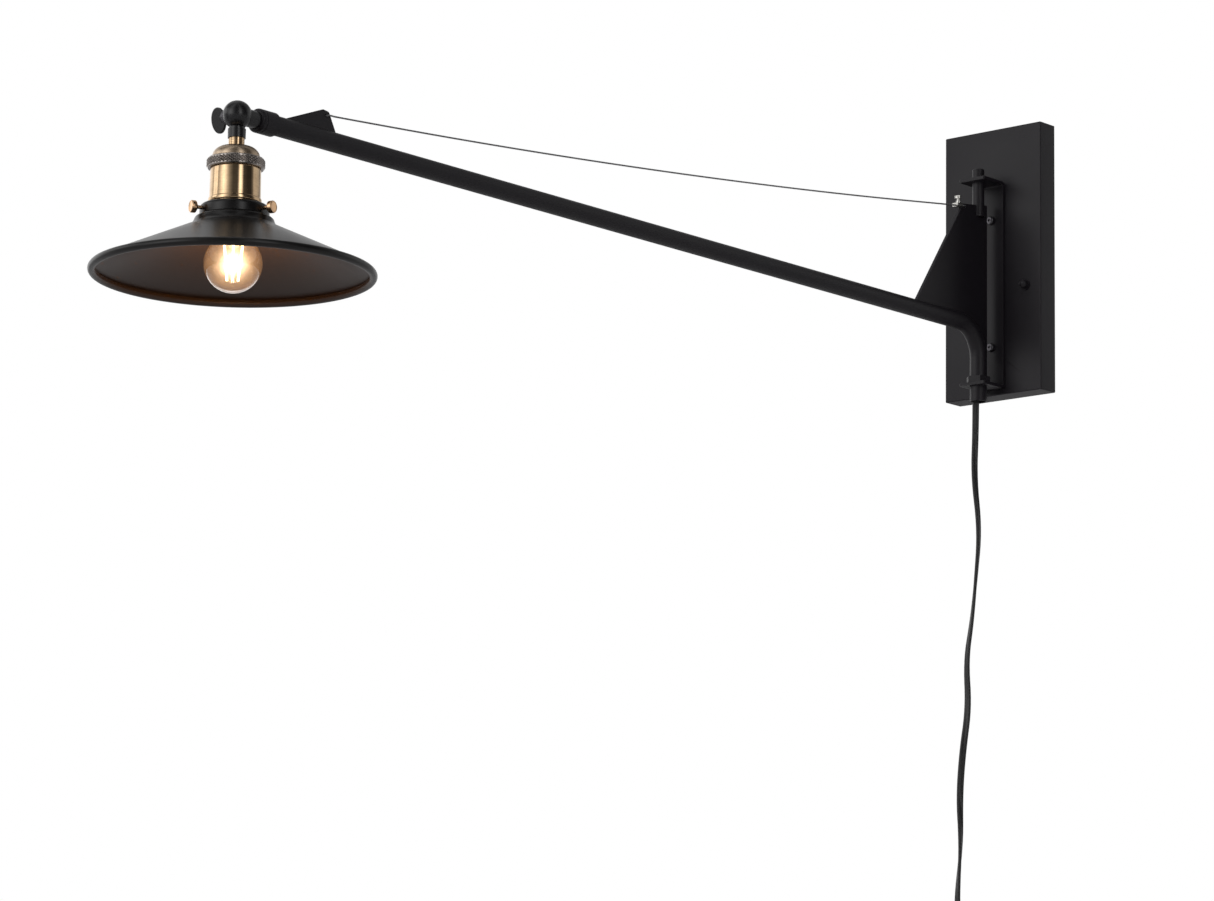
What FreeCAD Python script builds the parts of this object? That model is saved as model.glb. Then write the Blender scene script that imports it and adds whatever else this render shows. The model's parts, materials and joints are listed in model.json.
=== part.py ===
"""Swing arm wall sconce, plug-in, with a long tube arm held level by a stay wire.

Frame: millimetres, +Z up. The origin is the centre of the wall plate's back face, which lies
on the wall in the plane Y = 0. The arm at rest stands straight out from the wall, along -Y,
and +X is to the right of someone who faces the wall.
Each function makes one sub-part, or one group of like fasteners, and export() writes it.
"""

import math
import os

import FreeCAD
import Part

# Wall plate, a folded pan that is open at the back
PLATE_W, PLATE_H, PLATE_T = 108.0, 250.0, 22.0
SHEET = 1.5
STUD_X, STUD_Z = 37.0, -26.0
MOUNTING_W, MOUNTING_H, MOUNTING_T = 100.0, 84.0, 2.0
MOUNT_HOLE_X, MOUNT_HOLE_Z, MOUNT_HOLE_D = 30.0, 28.0, 4.5

# Pivot bracket, a strip bent into a C
BRACKET_W, BRACKET_T = 28.0, 3.0
BRACKET_TOP, BRACKET_BOTTOM = 73.5, -120.0
BRACKET_FRONT = -54.5
BRACKET_SCREW_Z = (38.5, -80.5)

# Swing axis and arm
AXIS_Y = -44.0
ARM_Z = -63.6
ARM_L = 950.0
TUBE_D, TUBE_WALL = 15.6, 1.2
BEND_R = 30.0
BEND_DIP = BEND_R * (1 - math.sqrt(0.5))
TUBE_BOTTOM = -134.0
TUBE_END_Y = AXIS_Y - 924.0
PIN_D, PIN_TOP, PIN_BOTTOM = 11.0, 83.0, 38.5
FIT = 0.05
NUT_AF, NUT_H = 20.0, 5.5
GUSSET_T, FIN_T = 3.0, 2.5
GUSSET_BACK = 11.3

# Stay wire
WIRE_D = 1.5
WIRE_SAG = 7.0
FIN_HOLE = (AXIS_Y - 854.7, -44.4)
GUSSET_HOLE = (AXIS_Y - 21.4, 44.2)
WIRE_HOLE_D = 2.6

# Head: distances are below the centre of the knuckle ball, radii are from the lamp axis
BALL_Y = AXIS_Y - ARM_L
BALL_R = 11.2
SPLIT_GAP = 0.15
NECK_D = 13.8
CABLE_D = 5.0
NIPPLE_D = 12.4
SHELL_D = 39.4
RING_D = 45.0
HOLDER_D = 53.4
SHADE_D, SHADE_RIM = 220.0, 124.0
SHADE_SHEET = 1.0
BEAD_R = 3.2
BULB_D, BULB_CENTRE = 45.0, 116.8
FILAMENT_TOP, FILAMENT_FOOT = 101.0, 130.0
# Each thumbscrew's plan angle, and how far out its head starts
THUMBSCREW_DROP = 75.8
THUMBSCREWS = ((12.0, 31.4), (128.0, 31.0), (246.0, 31.4))

# Wing screw's leaf
LEAF_W, LEAF_H, LEAF_T, LEAF_DROP = 14.4, 20.6, 2.6, 1.2

# Mains lead: a flat twin cord, and the coil that holds the rest of its length
CORD_D = 6.2
COIL_R, COIL_TURN_ROWS, COIL_TURN_COLUMNS = 33.0, 3, 2
COIL_CENTRE = (-20.5, -57.5, -656.0)
LEAD_ROUTE = [
    (-1.8, -45.6, -126.0),
    (-1.9, -45.5, -160.0),
    (-3.3, -46.6, -203.0),
    (0.9, -43.3, -252.0),
    (-1.6, -45.9, -297.0),
    (-4.6, -47.6, -335.0),
    (-8.6, -51.3, -371.0),
    (-6.6, -49.9, -414.0),
    (-10.9, -53.2, -453.0),
    (-13.0, -55.2, -495.0),
    (-11.7, -54.2, -536.0),
    (-14.6, -56.6, -584.0),
    (-10.2, -60.9, -611.0),
    (7.3, -60.6, -628.6),
]
TAIL_ROUTE = [
    (18.7, -54.4, -656.0),
    (19.3, -54.9, -680.0),
    (16.9, -56.6, -706.0),
]
PLUG_W, PLUG_T, PLUG_H = 24.0, 15.0, 30.0
BLADE_GAP, BLADE_W, BLADE_T, BLADE_L = 12.7, 6.3, 1.5, 16.0


def vec(x, y, z):
    return FreeCAD.Vector(x, y, z)


X_AXIS, Y_AXIS, Z_AXIS = vec(1, 0, 0), vec(0, 1, 0), vec(0, 0, 1)


def export(node, *solids):
    """Writes one node, and stops if any of its solids is open or broken."""
    shape = solids[0] if len(solids) == 1 else Part.makeCompound(list(solids))
    for solid in shape.Solids:
        if not solid.isValid() or not solid.isClosed() or solid.Volume <= 0:
            raise ValueError(f"{node} is not a valid closed solid")
    shape.exportStep(f"parts/{node}.step")
    print(f"{node}: {len(shape.Solids)} solid(s), {shape.Volume:.0f} mm3")
    return shape


def block(x0, x1, y0, y1, z0, z1):
    """A box from its two opposite corners."""
    return Part.makeBox(x1 - x0, y1 - y0, z1 - z0, vec(x0, y0, z0))


def rod(start, end, diameter):
    """A round bar between two points."""
    start, end = vec(*start), vec(*end)
    return Part.makeCylinder(diameter / 2, (end - start).Length, start, end - start)


def hex_prism(across_flats, height, centre, axis):
    """A hexagonal prism that starts at centre and goes along axis."""
    corner = across_flats / math.sqrt(3)
    ring = [
        vec(corner * math.cos(math.radians(60 * k)), corner * math.sin(math.radians(60 * k)), 0)
        for k in range(7)
    ]
    prism = Part.Face(Part.makePolygon(ring)).extrude(vec(0, 0, height))
    prism.Placement = FreeCAD.Placement(vec(*centre), FreeCAD.Rotation(Z_AXIS, vec(*axis)))
    return prism


def turned(profile, x=0.0, y=BALL_Y, z=ARM_Z):
    """A solid turned about the vertical lamp axis from (radius, distance below the ball) points.

    A point with a third value is the middle of an arc from the point before it to the next one.
    """
    edges = []
    points = [(vec(r, 0, -d[0]), len(d) > 1) for r, *d in profile]
    points.append(points[0])
    here = 0
    while here < len(points) - 1:
        if points[here + 1][1]:
            edges.append(Part.Arc(points[here][0], points[here + 1][0], points[here + 2][0]).toShape())
            here += 2
        else:
            edges.append(Part.LineSegment(points[here][0], points[here + 1][0]).toShape())
            here += 1
    solid = Part.Face(Part.Wire(edges)).revolve(vec(0, 0, 0), Z_AXIS, 360)
    solid.translate(vec(x, y, z))
    return solid


def route_wire(points):
    """Straight runs joined by tangent arcs. Returns the path and the radius of each arc."""
    edges, radii, last = [], [], points[0]
    for before, here, after in zip(points, points[1:], points[2:]):
        back, on = before - here, after - here
        turn = math.pi - back.getAngle(on)
        reach = 0.45 * min(back.Length, on.Length)
        radii.append(reach / math.tan(turn / 2))
        start = here + back.normalize() * reach
        end = here + on.normalize() * reach
        to_middle = (back + on).normalize()
        middle = here + to_middle * (radii[-1] / math.cos(turn / 2) - radii[-1])
        edges.append(Part.LineSegment(last, start).toShape())
        edges.append(Part.Arc(start, middle, end).toShape())
        last = end
    edges.append(Part.LineSegment(last, points[-1]).toShape())
    return Part.Wire(edges), radii


def swept(wire, diameter):
    """A round section carried along a wire from its first vertex."""
    first = wire.OrderedEdges[0]
    at = first.valueAt(first.FirstParameter)
    along = first.tangentAt(first.FirstParameter)
    section = Part.Wire(Part.makeCircle(diameter / 2, at, along))
    return wire.makePipeShell([section], True, False)


def yz_plate(outline, thickness, x=0.0):
    """A flat plate in a plane of constant X, from its (y, z) outline."""
    corners = [vec(x - thickness / 2, y, z) for y, z in outline]
    face = Part.Face(Part.makePolygon(corners + corners[:1]))
    return face.extrude(vec(thickness, 0, 0))


# ---------------------------------------------------------------- wall side

def back_plate():
    pan = block(-PLATE_W / 2, PLATE_W / 2, -PLATE_T, 0, -PLATE_H / 2, PLATE_H / 2)
    fronts = [e for e in pan.Edges if e.BoundBox.YMax < 0.1 - PLATE_T or e.BoundBox.YLength > 1]
    pan = pan.makeFillet(1.0, fronts)
    hollow = block(
        SHEET - PLATE_W / 2, PLATE_W / 2 - SHEET,
        SHEET - PLATE_T, 1,
        SHEET - PLATE_H / 2, PLATE_H / 2 - SHEET,
    )
    holes = [rod((0, -PLATE_T - 1, z), (0, -10, z), 4.4) for z in BRACKET_SCREW_Z]
    holes += [rod((x, -PLATE_T - 1, STUD_Z), (x, -10, STUD_Z), 4.4) for x in (-STUD_X, STUD_X)]
    return pan.cut(hollow).cut(Part.makeCompound(holes))


def mounting_plate():
    """The flat steel plate that is screwed to the wall first, with the two studs threaded in."""
    plate = block(
        -MOUNTING_W / 2, MOUNTING_W / 2, -MOUNTING_T, 0,
        STUD_Z - MOUNTING_H / 2, STUD_Z + MOUNTING_H / 2,
    )
    plate = plate.makeFillet(6.0, [e for e in plate.Edges if e.BoundBox.YLength > 1])
    holes = [
        rod((x, -5, STUD_Z + z), (x, 1, STUD_Z + z), MOUNT_HOLE_D)
        for x in (-MOUNT_HOLE_X, MOUNT_HOLE_X)
        for z in (-MOUNT_HOLE_Z, MOUNT_HOLE_Z)
    ]
    holes += [rod((x, -5, STUD_Z), (x, 1, STUD_Z), 4.0) for x in (-STUD_X, STUD_X)]
    return plate.cut(holes)


def canopy_stud(x):
    return rod((x, -0.3, STUD_Z), (x, -PLATE_T - 4.0, STUD_Z), 4.0)


def cap_nut(x):
    """A low acorn nut with a flange, threaded onto its stud."""
    face = -PLATE_T
    flange = rod((x, face, STUD_Z), (x, face - 1.5, STUD_Z), 9.5)
    body = rod((x, face - 1.5, STUD_Z), (x, face - 3.5, STUD_Z), 8.0)
    dome = Part.makeSphere(4.0, vec(x, face - 3.5, STUD_Z))
    behind = block(x - 6, x + 6, face - 3.5, face + 9, STUD_Z - 6, STUD_Z + 6)
    bore = rod((x, face + 1, STUD_Z), (x, face - 4.0, STUD_Z), 4.0)
    return flange.fuse([body, dome.cut(behind)]).cut(bore).removeSplitter()


def pivot_bracket():
    """The strip, with both ends bent forward into tabs that hold the pin and the tube."""
    half, back = BRACKET_W / 2, -PLATE_T
    outer = block(-half, half, BRACKET_FRONT, back, BRACKET_BOTTOM, BRACKET_TOP)
    bends = [e for e in outer.Edges if e.BoundBox.XLength > 1 and abs(e.BoundBox.YMax - back) < 0.1]
    outer = outer.makeFillet(BRACKET_T + 1.5, bends)
    inner = block(
        -half - 1, half + 1, BRACKET_FRONT - 20, back - BRACKET_T,
        BRACKET_BOTTOM + BRACKET_T, BRACKET_TOP - BRACKET_T,
    )
    bends = [
        e for e in inner.Edges
        if e.BoundBox.XLength > 1 and abs(e.BoundBox.YMax - back + BRACKET_T) < 0.1
    ]
    inner = inner.makeFillet(1.5, bends)
    bracket = outer.cut(inner)
    tips = [e for e in bracket.Edges if abs(e.BoundBox.YMax - BRACKET_FRONT) < 0.1 and e.BoundBox.ZLength > 1]
    bracket = bracket.makeFillet(1.5, tips)
    pin_hole = rod((0, AXIS_Y, BRACKET_TOP - 9), (0, AXIS_Y, BRACKET_TOP + 9), PIN_D + 2 * FIT)
    tube_hole = rod((0, AXIS_Y, BRACKET_BOTTOM - 9), (0, AXIS_Y, BRACKET_BOTTOM + 9), TUBE_D + 2 * FIT)
    screw_holes = [rod((0, back - 9, z), (0, back + 9, z), 4.4) for z in BRACKET_SCREW_Z]
    return bracket.cut([pin_hole, tube_hole, *screw_holes])


def bracket_screw(z):
    """M4 pan head screw with a hexagon socket, from the strip into the nut behind the plate."""
    face = -PLATE_T - BRACKET_T
    head = rod((0, face, z), (0, face - 2.6, z), 8.0)
    rim = [e for e in head.Edges if abs(e.BoundBox.YMax - face + 2.6) < 0.1 and e.BoundBox.XLength > 7]
    head = head.makeFillet(1.1, rim)
    shank = rod((0, face, z), (0, face + 11.0, z), 4.0)
    socket = hex_prism(2.5, 1.6, (0, face - 3.0, z), (0, 1, 0))
    return head.fuse(shank).cut(socket).removeSplitter()


def bracket_nut(z):
    inside = SHEET - PLATE_T
    nut = hex_prism(7.0, 3.2, (0, inside, z), (0, 1, 0))
    return nut.cut(rod((0, inside - 1, z), (0, inside + 5, z), 4.0))


# ---------------------------------------------------------------- arm

def arm_path(start_z, end_y):
    """Up the swing axis, round the bend and out along the arm."""
    low = vec(0, AXIS_Y, ARM_Z - BEND_R)
    out = vec(0, AXIS_Y - BEND_R, ARM_Z)
    middle = vec(0, AXIS_Y - BEND_DIP, ARM_Z - BEND_DIP)
    return Part.Wire([
        Part.LineSegment(vec(0, AXIS_Y, start_z), low).toShape(),
        Part.Arc(low, middle, out).toShape(),
        Part.LineSegment(out, vec(0, end_y, ARM_Z)).toShape(),
    ])


def arm_solid(diameter):
    return swept(arm_path(TUBE_BOTTOM, TUBE_END_Y), diameter)


def arm_tube():
    past = swept(arm_path(TUBE_BOTTOM - 1, TUBE_END_Y - 1), TUBE_D - 2 * TUBE_WALL)
    return arm_solid(TUBE_D).cut(past)


def gusset_plate():
    """The plate between the pin and the tube, which takes the pull of the stay wire."""
    back = AXIS_Y + GUSSET_BACK
    outline = [
        (back, 51.0),
        (AXIS_Y - 25.0, 46.0),
        (AXIS_Y - 94.5, ARM_Z + TUBE_D / 2),
        (AXIS_Y - 94.5, ARM_Z),
        (AXIS_Y - BEND_R, ARM_Z),
        (AXIS_Y - BEND_DIP, ARM_Z - BEND_DIP),
        (AXIS_Y, ARM_Z - BEND_R),
        (AXIS_Y + 5.0, ARM_Z - BEND_R - 9.0),
        (back, ARM_Z - BEND_R + 4.0),
    ]
    hole = rod((-5, *GUSSET_HOLE), (5, *GUSSET_HOLE), WIRE_HOLE_D)
    return yz_plate(outline, GUSSET_T).cut([arm_solid(TUBE_D), hole])


def pivot_pin(gusset):
    """The pin is slit at its foot, and stands astride the gusset plate."""
    pin = rod((0, AXIS_Y, PIN_BOTTOM), (0, AXIS_Y, PIN_TOP), PIN_D)
    rim = [e for e in pin.Edges if e.BoundBox.ZMin > PIN_TOP - 0.1 and e.BoundBox.XLength > 5]
    return pin.makeChamfer(0.6, rim).cut(gusset)


def swing_nut():
    """The thin hexagon nut that carries the arm's weight on the bracket's lower tab."""
    seat = BRACKET_BOTTOM + BRACKET_T + FIT
    nut = hex_prism(NUT_AF, NUT_H, (0, AXIS_Y, seat), (0, 0, 1))
    nut.rotate(vec(0, AXIS_Y, 0), Z_AXIS, 14.0)
    narrow, wide, tall = NUT_AF / 2 + 0.6, NUT_AF / 2 + 0.6 + NUT_H * 2, NUT_H * 2
    bevel = Part.makeCone(narrow, wide, tall, vec(0, AXIS_Y, seat - 0.8))
    bevel_top = Part.makeCone(wide, narrow, tall, vec(0, AXIS_Y, seat + NUT_H + 0.8 - tall))
    bore = rod((0, AXIS_Y, seat - 1), (0, AXIS_Y, seat + NUT_H + 1), TUBE_D)
    return nut.common(bevel).common(bevel_top).cut(bore)


def fin_plate():
    """The small plate on the arm's end that the stay wire is hooked through."""
    hole_y, hole_z = FIN_HOLE
    outline = [
        (AXIS_Y - 898.5, ARM_Z + TUBE_D / 2),
        (hole_y - 3.4, hole_z + 4.4),
        (hole_y + 3.2, hole_z + 3.6),
        (AXIS_Y - 843.5, ARM_Z + TUBE_D / 2),
        (AXIS_Y - 843.5, ARM_Z),
        (AXIS_Y - 898.5, ARM_Z),
    ]
    plate = yz_plate(outline, FIN_T)
    corners = [
        e for e in plate.Edges
        if e.BoundBox.XLength > 1 and e.BoundBox.ZMin > hole_z
    ]
    plate = plate.makeFillet(2.4, corners)
    hole = rod((-5, hole_y, hole_z), (5, hole_y, hole_z), WIRE_HOLE_D)
    return plate.cut([arm_solid(TUBE_D), hole])


def wire_frame():
    """The straight line between the wire's two holes: its start, direction and length."""
    start, end = vec(0, *FIN_HOLE), vec(0, *GUSSET_HOLE)
    along = end - start
    return start, along.normalize(), (end - start).Length


def wire_point(distance, side=0.0, lift=0.0):
    """A point that far along the wire's line from the fin's hole."""
    start, along, _ = wire_frame()
    up = X_AXIS.cross(along)
    if up.z < 0:
        up = up.negative()
    return start + along * distance + X_AXIS * side + up * lift


def wire_turn():
    """The rotation that lays X along the wire and Z square to it, upwards."""
    _, along, _ = wire_frame()
    side = X_AXIS.negative()
    return FreeCAD.Rotation(along, side, along.cross(side), "XYZ")


def stay_wire():
    """One wire: its end stopped behind the fin, slack to the gusset, hooked through, clamped."""
    _, _, length = wire_frame()
    near = WIRE_D / 2 + 0.1
    fin_end = [(-0.4, -4.4), (-0.4, 2.6), (5.8, 2.6), (8.6, near + 0.1)]
    fin_end = [wire_point(reach, side) for reach, side in fin_end]
    span = [
        wire_point(length * part, near, -4 * WIRE_SAG * part * (1 - part))
        for part in (0.2, 0.4, 0.6, 0.8)
    ]
    strand = [(14.0, near), (7.6, near + 0.1), (5.6, 2.55), (-0.3, 2.55)]
    strand += [(reach, -side) for reach, side in reversed(strand)]
    gusset_hook = [wire_point(length - reach, side) for reach, side in strand]
    path, _ = route_wire(fin_end + span + gusset_hook)
    return swept(path, WIRE_D)


def wire_ferrule(wire):
    """The swaged stop on the wire's end, which can't pass through the fin's hole."""
    near, far = wire_point(-0.4, -1.4), wire_point(-0.4, -4.9)
    barrel = Part.makeCylinder(2.0, (far - near).Length, near, far - near)
    return barrel.makeFillet(0.6, [e for e in barrel.Edges if e.Closed]).cut(wire)


def wire_clamp(wire):
    """The screw clamp at the gusset end: a block over both strands."""
    long, wide, high, lift = 7.8, 6.4, 3.4, 0.6
    _, _, length = wire_frame()
    body = Part.makeBox(long, wide, high, vec(0, -wide / 2, lift - high / 2))
    body = body.makeFillet(1.0, [e for e in body.Edges if e.BoundBox.XLength > 1])
    body.Placement = FreeCAD.Placement(wire_point(length - 14.2), wire_turn())
    return body.cut(wire)


def clamp_screw(clamp):
    """The clamp's slotted screw, with a collar half way up."""
    _, _, length = wire_frame()
    at = length - 8.6
    foot = wire_point(at, 0, 1.6)
    up = wire_point(at, 0, 9.3) - foot
    screw = Part.makeCylinder(1.5, 5.6, foot, up)
    screw = screw.cut(clamp).fuse([
        Part.makeCylinder(2.3, 2.0, wire_point(at, 0, 2.4), up),
        Part.makeCylinder(3.0, 2.5, wire_point(at, 0, 6.8), up),
    ])
    slot = Part.makeBox(8, 0.8, 2, vec(-4, -0.4, 0))
    slot.Placement = FreeCAD.Placement(wire_point(at, 0, 8.3), wire_turn())
    return screw.cut(slot).removeSplitter()


def end_collar():
    """The coupling on the arm's end: the tube goes in one side, the knuckle in the other."""
    start, end = AXIS_Y - 912.0, AXIS_Y - 930.8
    body = rod((0, start, ARM_Z), (0, end, ARM_Z), 19.0)
    rims = [e for e in body.Edges if e.BoundBox.XLength > 5]
    body = body.makeFillet(2.6, [e for e in rims if e.BoundBox.YMax < end + 1])
    rims = [e for e in body.Edges if e.BoundBox.YMin > start - 1]
    body = body.makeChamfer(0.4, rims)
    groove = rod((0, end + 5.4, ARM_Z), (0, end + 4.8, ARM_Z), 20.0)
    body = body.cut(groove.cut(rod((0, end + 6, ARM_Z), (0, end + 4, ARM_Z), 18.3)))
    tube = rod((0, start + 1, ARM_Z), (0, TUBE_END_Y, ARM_Z), TUBE_D)
    neck = rod((0, TUBE_END_Y + 1, ARM_Z), (0, end - 1, ARM_Z), NECK_D)
    return body.cut([tube, neck])


def half_ball(side, clearance=0.0):
    """Half of the knuckle ball, on the +X or -X side of the split."""
    ball = Part.makeSphere(BALL_R + clearance, vec(0, BALL_Y, ARM_Z))
    far = side * (BALL_R + 5)
    near = side * (SPLIT_GAP - clearance)
    return ball.common(block(min(near, far), max(near, far), BALL_Y - 20, BALL_Y + 20, ARM_Z - 20, ARM_Z + 20))


def knuckle_arm_half():
    """The camera-side half of the ball, on a neck that goes into the arm's collar."""
    neck = rod((0, BALL_Y + 6, ARM_Z), (0, TUBE_END_Y, ARM_Z), NECK_D)
    keep_out = half_ball(-1, 0.35)
    body = half_ball(1).fuse(neck.cut(keep_out))
    cable = rod((2.6, BALL_Y, ARM_Z), (2.6, TUBE_END_Y + 1, ARM_Z), CABLE_D + 0.6)
    thread = rod((-1, BALL_Y, ARM_Z), (6.5, BALL_Y, ARM_Z), 4.0)
    return body.cut([cable, thread]).removeSplitter()


def arm_cable():
    """The lead inside the arm, from the tube's foot to the knuckle."""
    return swept(arm_path(-125.6, TUBE_END_Y + 6), CABLE_D)


# ---------------------------------------------------------------- lamp head

def knuckle_lamp_half():
    """The far half of the ball, on a neck that holds the lampholder's nipple."""
    neck = rod((0, BALL_Y, ARM_Z - 6), (0, BALL_Y, ARM_Z - 12), NECK_D - 1.6)
    neck = neck.fuse(rod((0, BALL_Y, ARM_Z - 11.2), (0, BALL_Y, ARM_Z - 18.4), NECK_D))
    body = half_ball(-1).fuse(neck.cut(half_ball(1, 0.35)))
    cable = rod((-2.6, BALL_Y, ARM_Z), (-2.6, BALL_Y, ARM_Z - 12), CABLE_D + 0.6)
    bore = rod((0, BALL_Y, ARM_Z - 12), (0, BALL_Y, ARM_Z - 21), NIPPLE_D - 2.0)
    clear = rod((1, BALL_Y, ARM_Z), (-BALL_R - 1, BALL_Y, ARM_Z), 4.3)
    return body.cut([cable, bore, clear]).removeSplitter()


def nipple():
    """The threaded brass tube between the knuckle's neck and the lampholder's cap."""
    root, crest = NIPPLE_D / 2 - 1.0, NIPPLE_D / 2
    return turned([
        (3.6, 12.5), (root, 12.5), (root, 18.4), (crest, 18.4), (crest, 24.9), (root, 24.9),
        (root, 29.5), (3.6, 29.5),
    ])


def nipple_nut():
    nut = hex_prism(14.0, 2.4, (0, BALL_Y, ARM_Z - 28.8), (0, 0, 1))
    return nut.cut(rod((0, BALL_Y, ARM_Z - 30), (0, BALL_Y, ARM_Z - 25), NIPPLE_D - 2.0))


def socket_cap():
    """The lampholder's domed cap, spun from 0.9 mm brass."""
    bore = NIPPLE_D / 2 - 1.0
    return turned([
        (bore, 24.9), (9.0, 24.9), (15.3, 27.4, "arc"), (18.5, 34.8),
        (17.6, 34.8), (14.6, 28.3, "arc"), (8.8, 26.0), (bore, 26.0),
    ])


def socket_ring():
    """The wide ring that clamps cap and shell together; its knurl is in the finish."""
    r = RING_D / 2
    return turned([(18.6, 34.9), (r - 0.8, 34.9), (r, 35.7), (r, 41.9), (r - 0.8, 42.7),
                   (18.6, 42.7)])


def socket_shell():
    """The lampholder's straight shell, with a bead where the shade holder stops."""
    r = SHELL_D / 2
    return turned([
        (r - 1.0, 42.8), (r, 42.8), (r, 66.2), (r + 0.9, 66.8), (r + 0.9, 69.4), (r, 70.0),
        (r, 84.0), (r - 1.0, 84.0),
    ])


def socket_core():
    """The insulating body that carries the screw shell, the contact and the terminals."""
    return turned([
        (3.2, 43.5), (18.5, 43.5), (18.5, 58.0), (17.0, 58.0), (17.0, 80.0), (14.9, 80.0),
        (14.9, 56.0), (3.2, 56.0),
    ])


def screw_shell():
    """The threaded metal shell that grips the bulb's cap."""
    outer = [(14.8, 79.0), (13.9, 79.0)]
    inner = [(13.6, 57.0), (14.8, 57.0)]
    return turned(outer + inner)


def centre_contact():
    """The sprung tongue that presses on the bulb's tip."""
    return turned([(0.0, 56.1), (5.0, 56.1), (5.0, 57.0), (2.2, 59.6), (0.0, 59.6)])


def terminal_screw(angle):
    """A screw in the side of the lampholder's core, where a conductor is held."""
    turn = math.radians(angle)
    out, side = math.cos(turn), math.sin(turn)
    at = (17.0 * out, BALL_Y + 17.0 * side, ARM_Z - 62.0)
    end = (18.4 * out, BALL_Y + 18.4 * side, ARM_Z - 62.0)
    return rod(at, end, 5.0)


def shade_holder():
    """The ring that hangs from the shell's bead and holds the shade's neck."""
    r = HOLDER_D / 2
    return turned([
        (SHELL_D / 2 + 0.05, 71.0), (r - 2.2, 71.0), (r - 0.6, 71.7, "arc"), (r, 73.4), (r, 80.2),
        (r - 1.2, 80.2), (r - 1.2, 73.4), (r - 3.0, 72.3), (SHELL_D / 2 + 0.05, 72.3),
    ]).cut([thumbscrew_shank(angle, head) for angle, head in THUMBSCREWS])


def thumbscrew_shank(angle, head):
    turn = math.radians(angle)
    out = vec(math.cos(turn), math.sin(turn), 0)
    start = vec(0, BALL_Y, ARM_Z - THUMBSCREW_DROP) + out * (HOLDER_D / 2 - 1.8)
    return Part.makeCylinder(1.5, head + 1.8 - HOLDER_D / 2, start, out)


def thumbscrew(angle, head):
    """A brass screw with a thick dished head, which grips the lip of the shade's neck."""
    turn = math.radians(angle)
    out = vec(math.cos(turn), math.sin(turn), 0)
    at = vec(0, BALL_Y, ARM_Z - THUMBSCREW_DROP) + out * head
    disc = Part.makeCylinder(4.8, 4.0, at, out)
    disc = disc.makeChamfer(0.5, [e for e in disc.Edges if e.Closed])
    dish = Part.makeSphere(14.0, at + out * 17.4)
    return thumbscrew_shank(angle, head).fuse(disc.cut(dish)).removeSplitter()


def shade():
    """A spun steel shade: lip, shoulder, shallow cone and rolled rim."""
    lip, neck, t = HOLDER_D / 2 - 2.0, 31.0, SHADE_SHEET
    rim = SHADE_D / 2 - BEAD_R
    bead_top = SHADE_RIM - BEAD_R * 0.8
    skin = turned([
        (lip, 73.6), (lip, 80.6), (neck - 2.2, 80.9), (neck - 0.9, 82.0, "arc"), (neck - 0.2, 84.0),
        (neck + 1.4, 86.9, "arc"), (neck + 6.0, 89.5), (rim, bead_top),
        (rim, bead_top + t * 1.1), (neck + 5.5, 89.5 + t * 1.05), (neck + 0.5, 87.6, "arc"),
        (neck - 1.2, 84.2), (neck - 1.7, 82.8, "arc"), (neck - 2.6, 82.0), (lip - t, 81.7),
        (lip - t, 73.6),
    ])
    bead = Part.makeTorus(rim, BEAD_R, vec(0, BALL_Y, ARM_Z - SHADE_RIM), Z_AXIS)
    return skin.fuse(bead).removeSplitter()


def bulb_glass():
    """A hollow 45 mm globe on a short neck."""
    r, t = BULB_D / 2, 0.8
    neck, foot = 12.6, 87.0
    top = BULB_CENTRE - math.sqrt(r * r - 15.5 ** 2)
    inner = r - t
    inner_top = BULB_CENTRE - math.sqrt(inner * inner - (15.5 - t) ** 2)
    out, down = math.sin(math.radians(110)), math.cos(math.radians(110))
    return turned([
        (neck, foot), (neck + 0.7, (foot + top) / 2 - 1.0, "arc"), (15.5, top),
        (r * out, BULB_CENTRE + r * down, "arc"), (0.0, BULB_CENTRE + r),
        (0.0, BULB_CENTRE + inner), (inner * out, BULB_CENTRE + inner * down, "arc"),
        (15.5 - t, inner_top), (neck - t + 0.7, (foot + inner_top) / 2 - 1.0, "arc"),
        (neck - t, foot),
    ])


def bulb_cap():
    """The bulb's screw cap."""
    return turned([
        (13.0, 62.5), (13.3, 64.0), (13.3, 86.0), (12.7, 88.5), (12.7, 87.2), (12.3, 86.0),
        (12.3, 64.0), (8.0, 62.6), (8.0, 61.6),
    ])


def bulb_tip():
    """The black glass end of the cap, with its solder contact."""
    return turned([(0.0, 59.7), (2.2, 59.7), (3.4, 60.6), (7.9, 61.6), (7.9, 62.6), (0.0, 63.4)])


def bulb_stem():
    """The pressed glass mount that holds the filament wires."""
    return turned([(0.0, 87.0), (9.6, 87.0), (4.2, 91.0), (3.2, 101.0), (0.0, 101.0)])


def filament_ends(index):
    """The upper and lower end of one of the four strips, which stand closer at the foot."""
    turn = math.radians(45 + 90 * index)
    x, y = math.cos(turn), math.sin(turn)
    upper = (7.0 * x, BALL_Y + 7.0 * y, ARM_Z - FILAMENT_TOP)
    lower = (4.2 * x, BALL_Y + 4.2 * y, ARM_Z - FILAMENT_FOOT)
    return upper, lower


def filament(index):
    """One upright glowing strip of the four."""
    upper, lower = filament_ends(index)
    return rod(upper, lower, 1.8)


def filament_leads(stem):
    """The wires from the stem to the filaments' upper and lower ends."""
    upper_wires, lower_wires = [], []
    for index in range(4):
        upper, lower = filament_ends(index)
        root = (upper[0] * 0.3, BALL_Y + (upper[1] - BALL_Y) * 0.3, ARM_Z - FILAMENT_TOP + 3)
        upper_wires.append(rod(root, (upper[0], upper[1], upper[2] + 0.2), 0.6).cut(stem))
        lower_wires.append(rod((0, BALL_Y, lower[2] - 1.6), (lower[0], lower[1], lower[2] - 0.4), 0.6))
    post = rod((0, BALL_Y, ARM_Z - FILAMENT_TOP - 0.1), (0, BALL_Y, ARM_Z - FILAMENT_FOOT - 1.9), 0.9)
    return post.fuse(lower_wires), upper_wires


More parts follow.
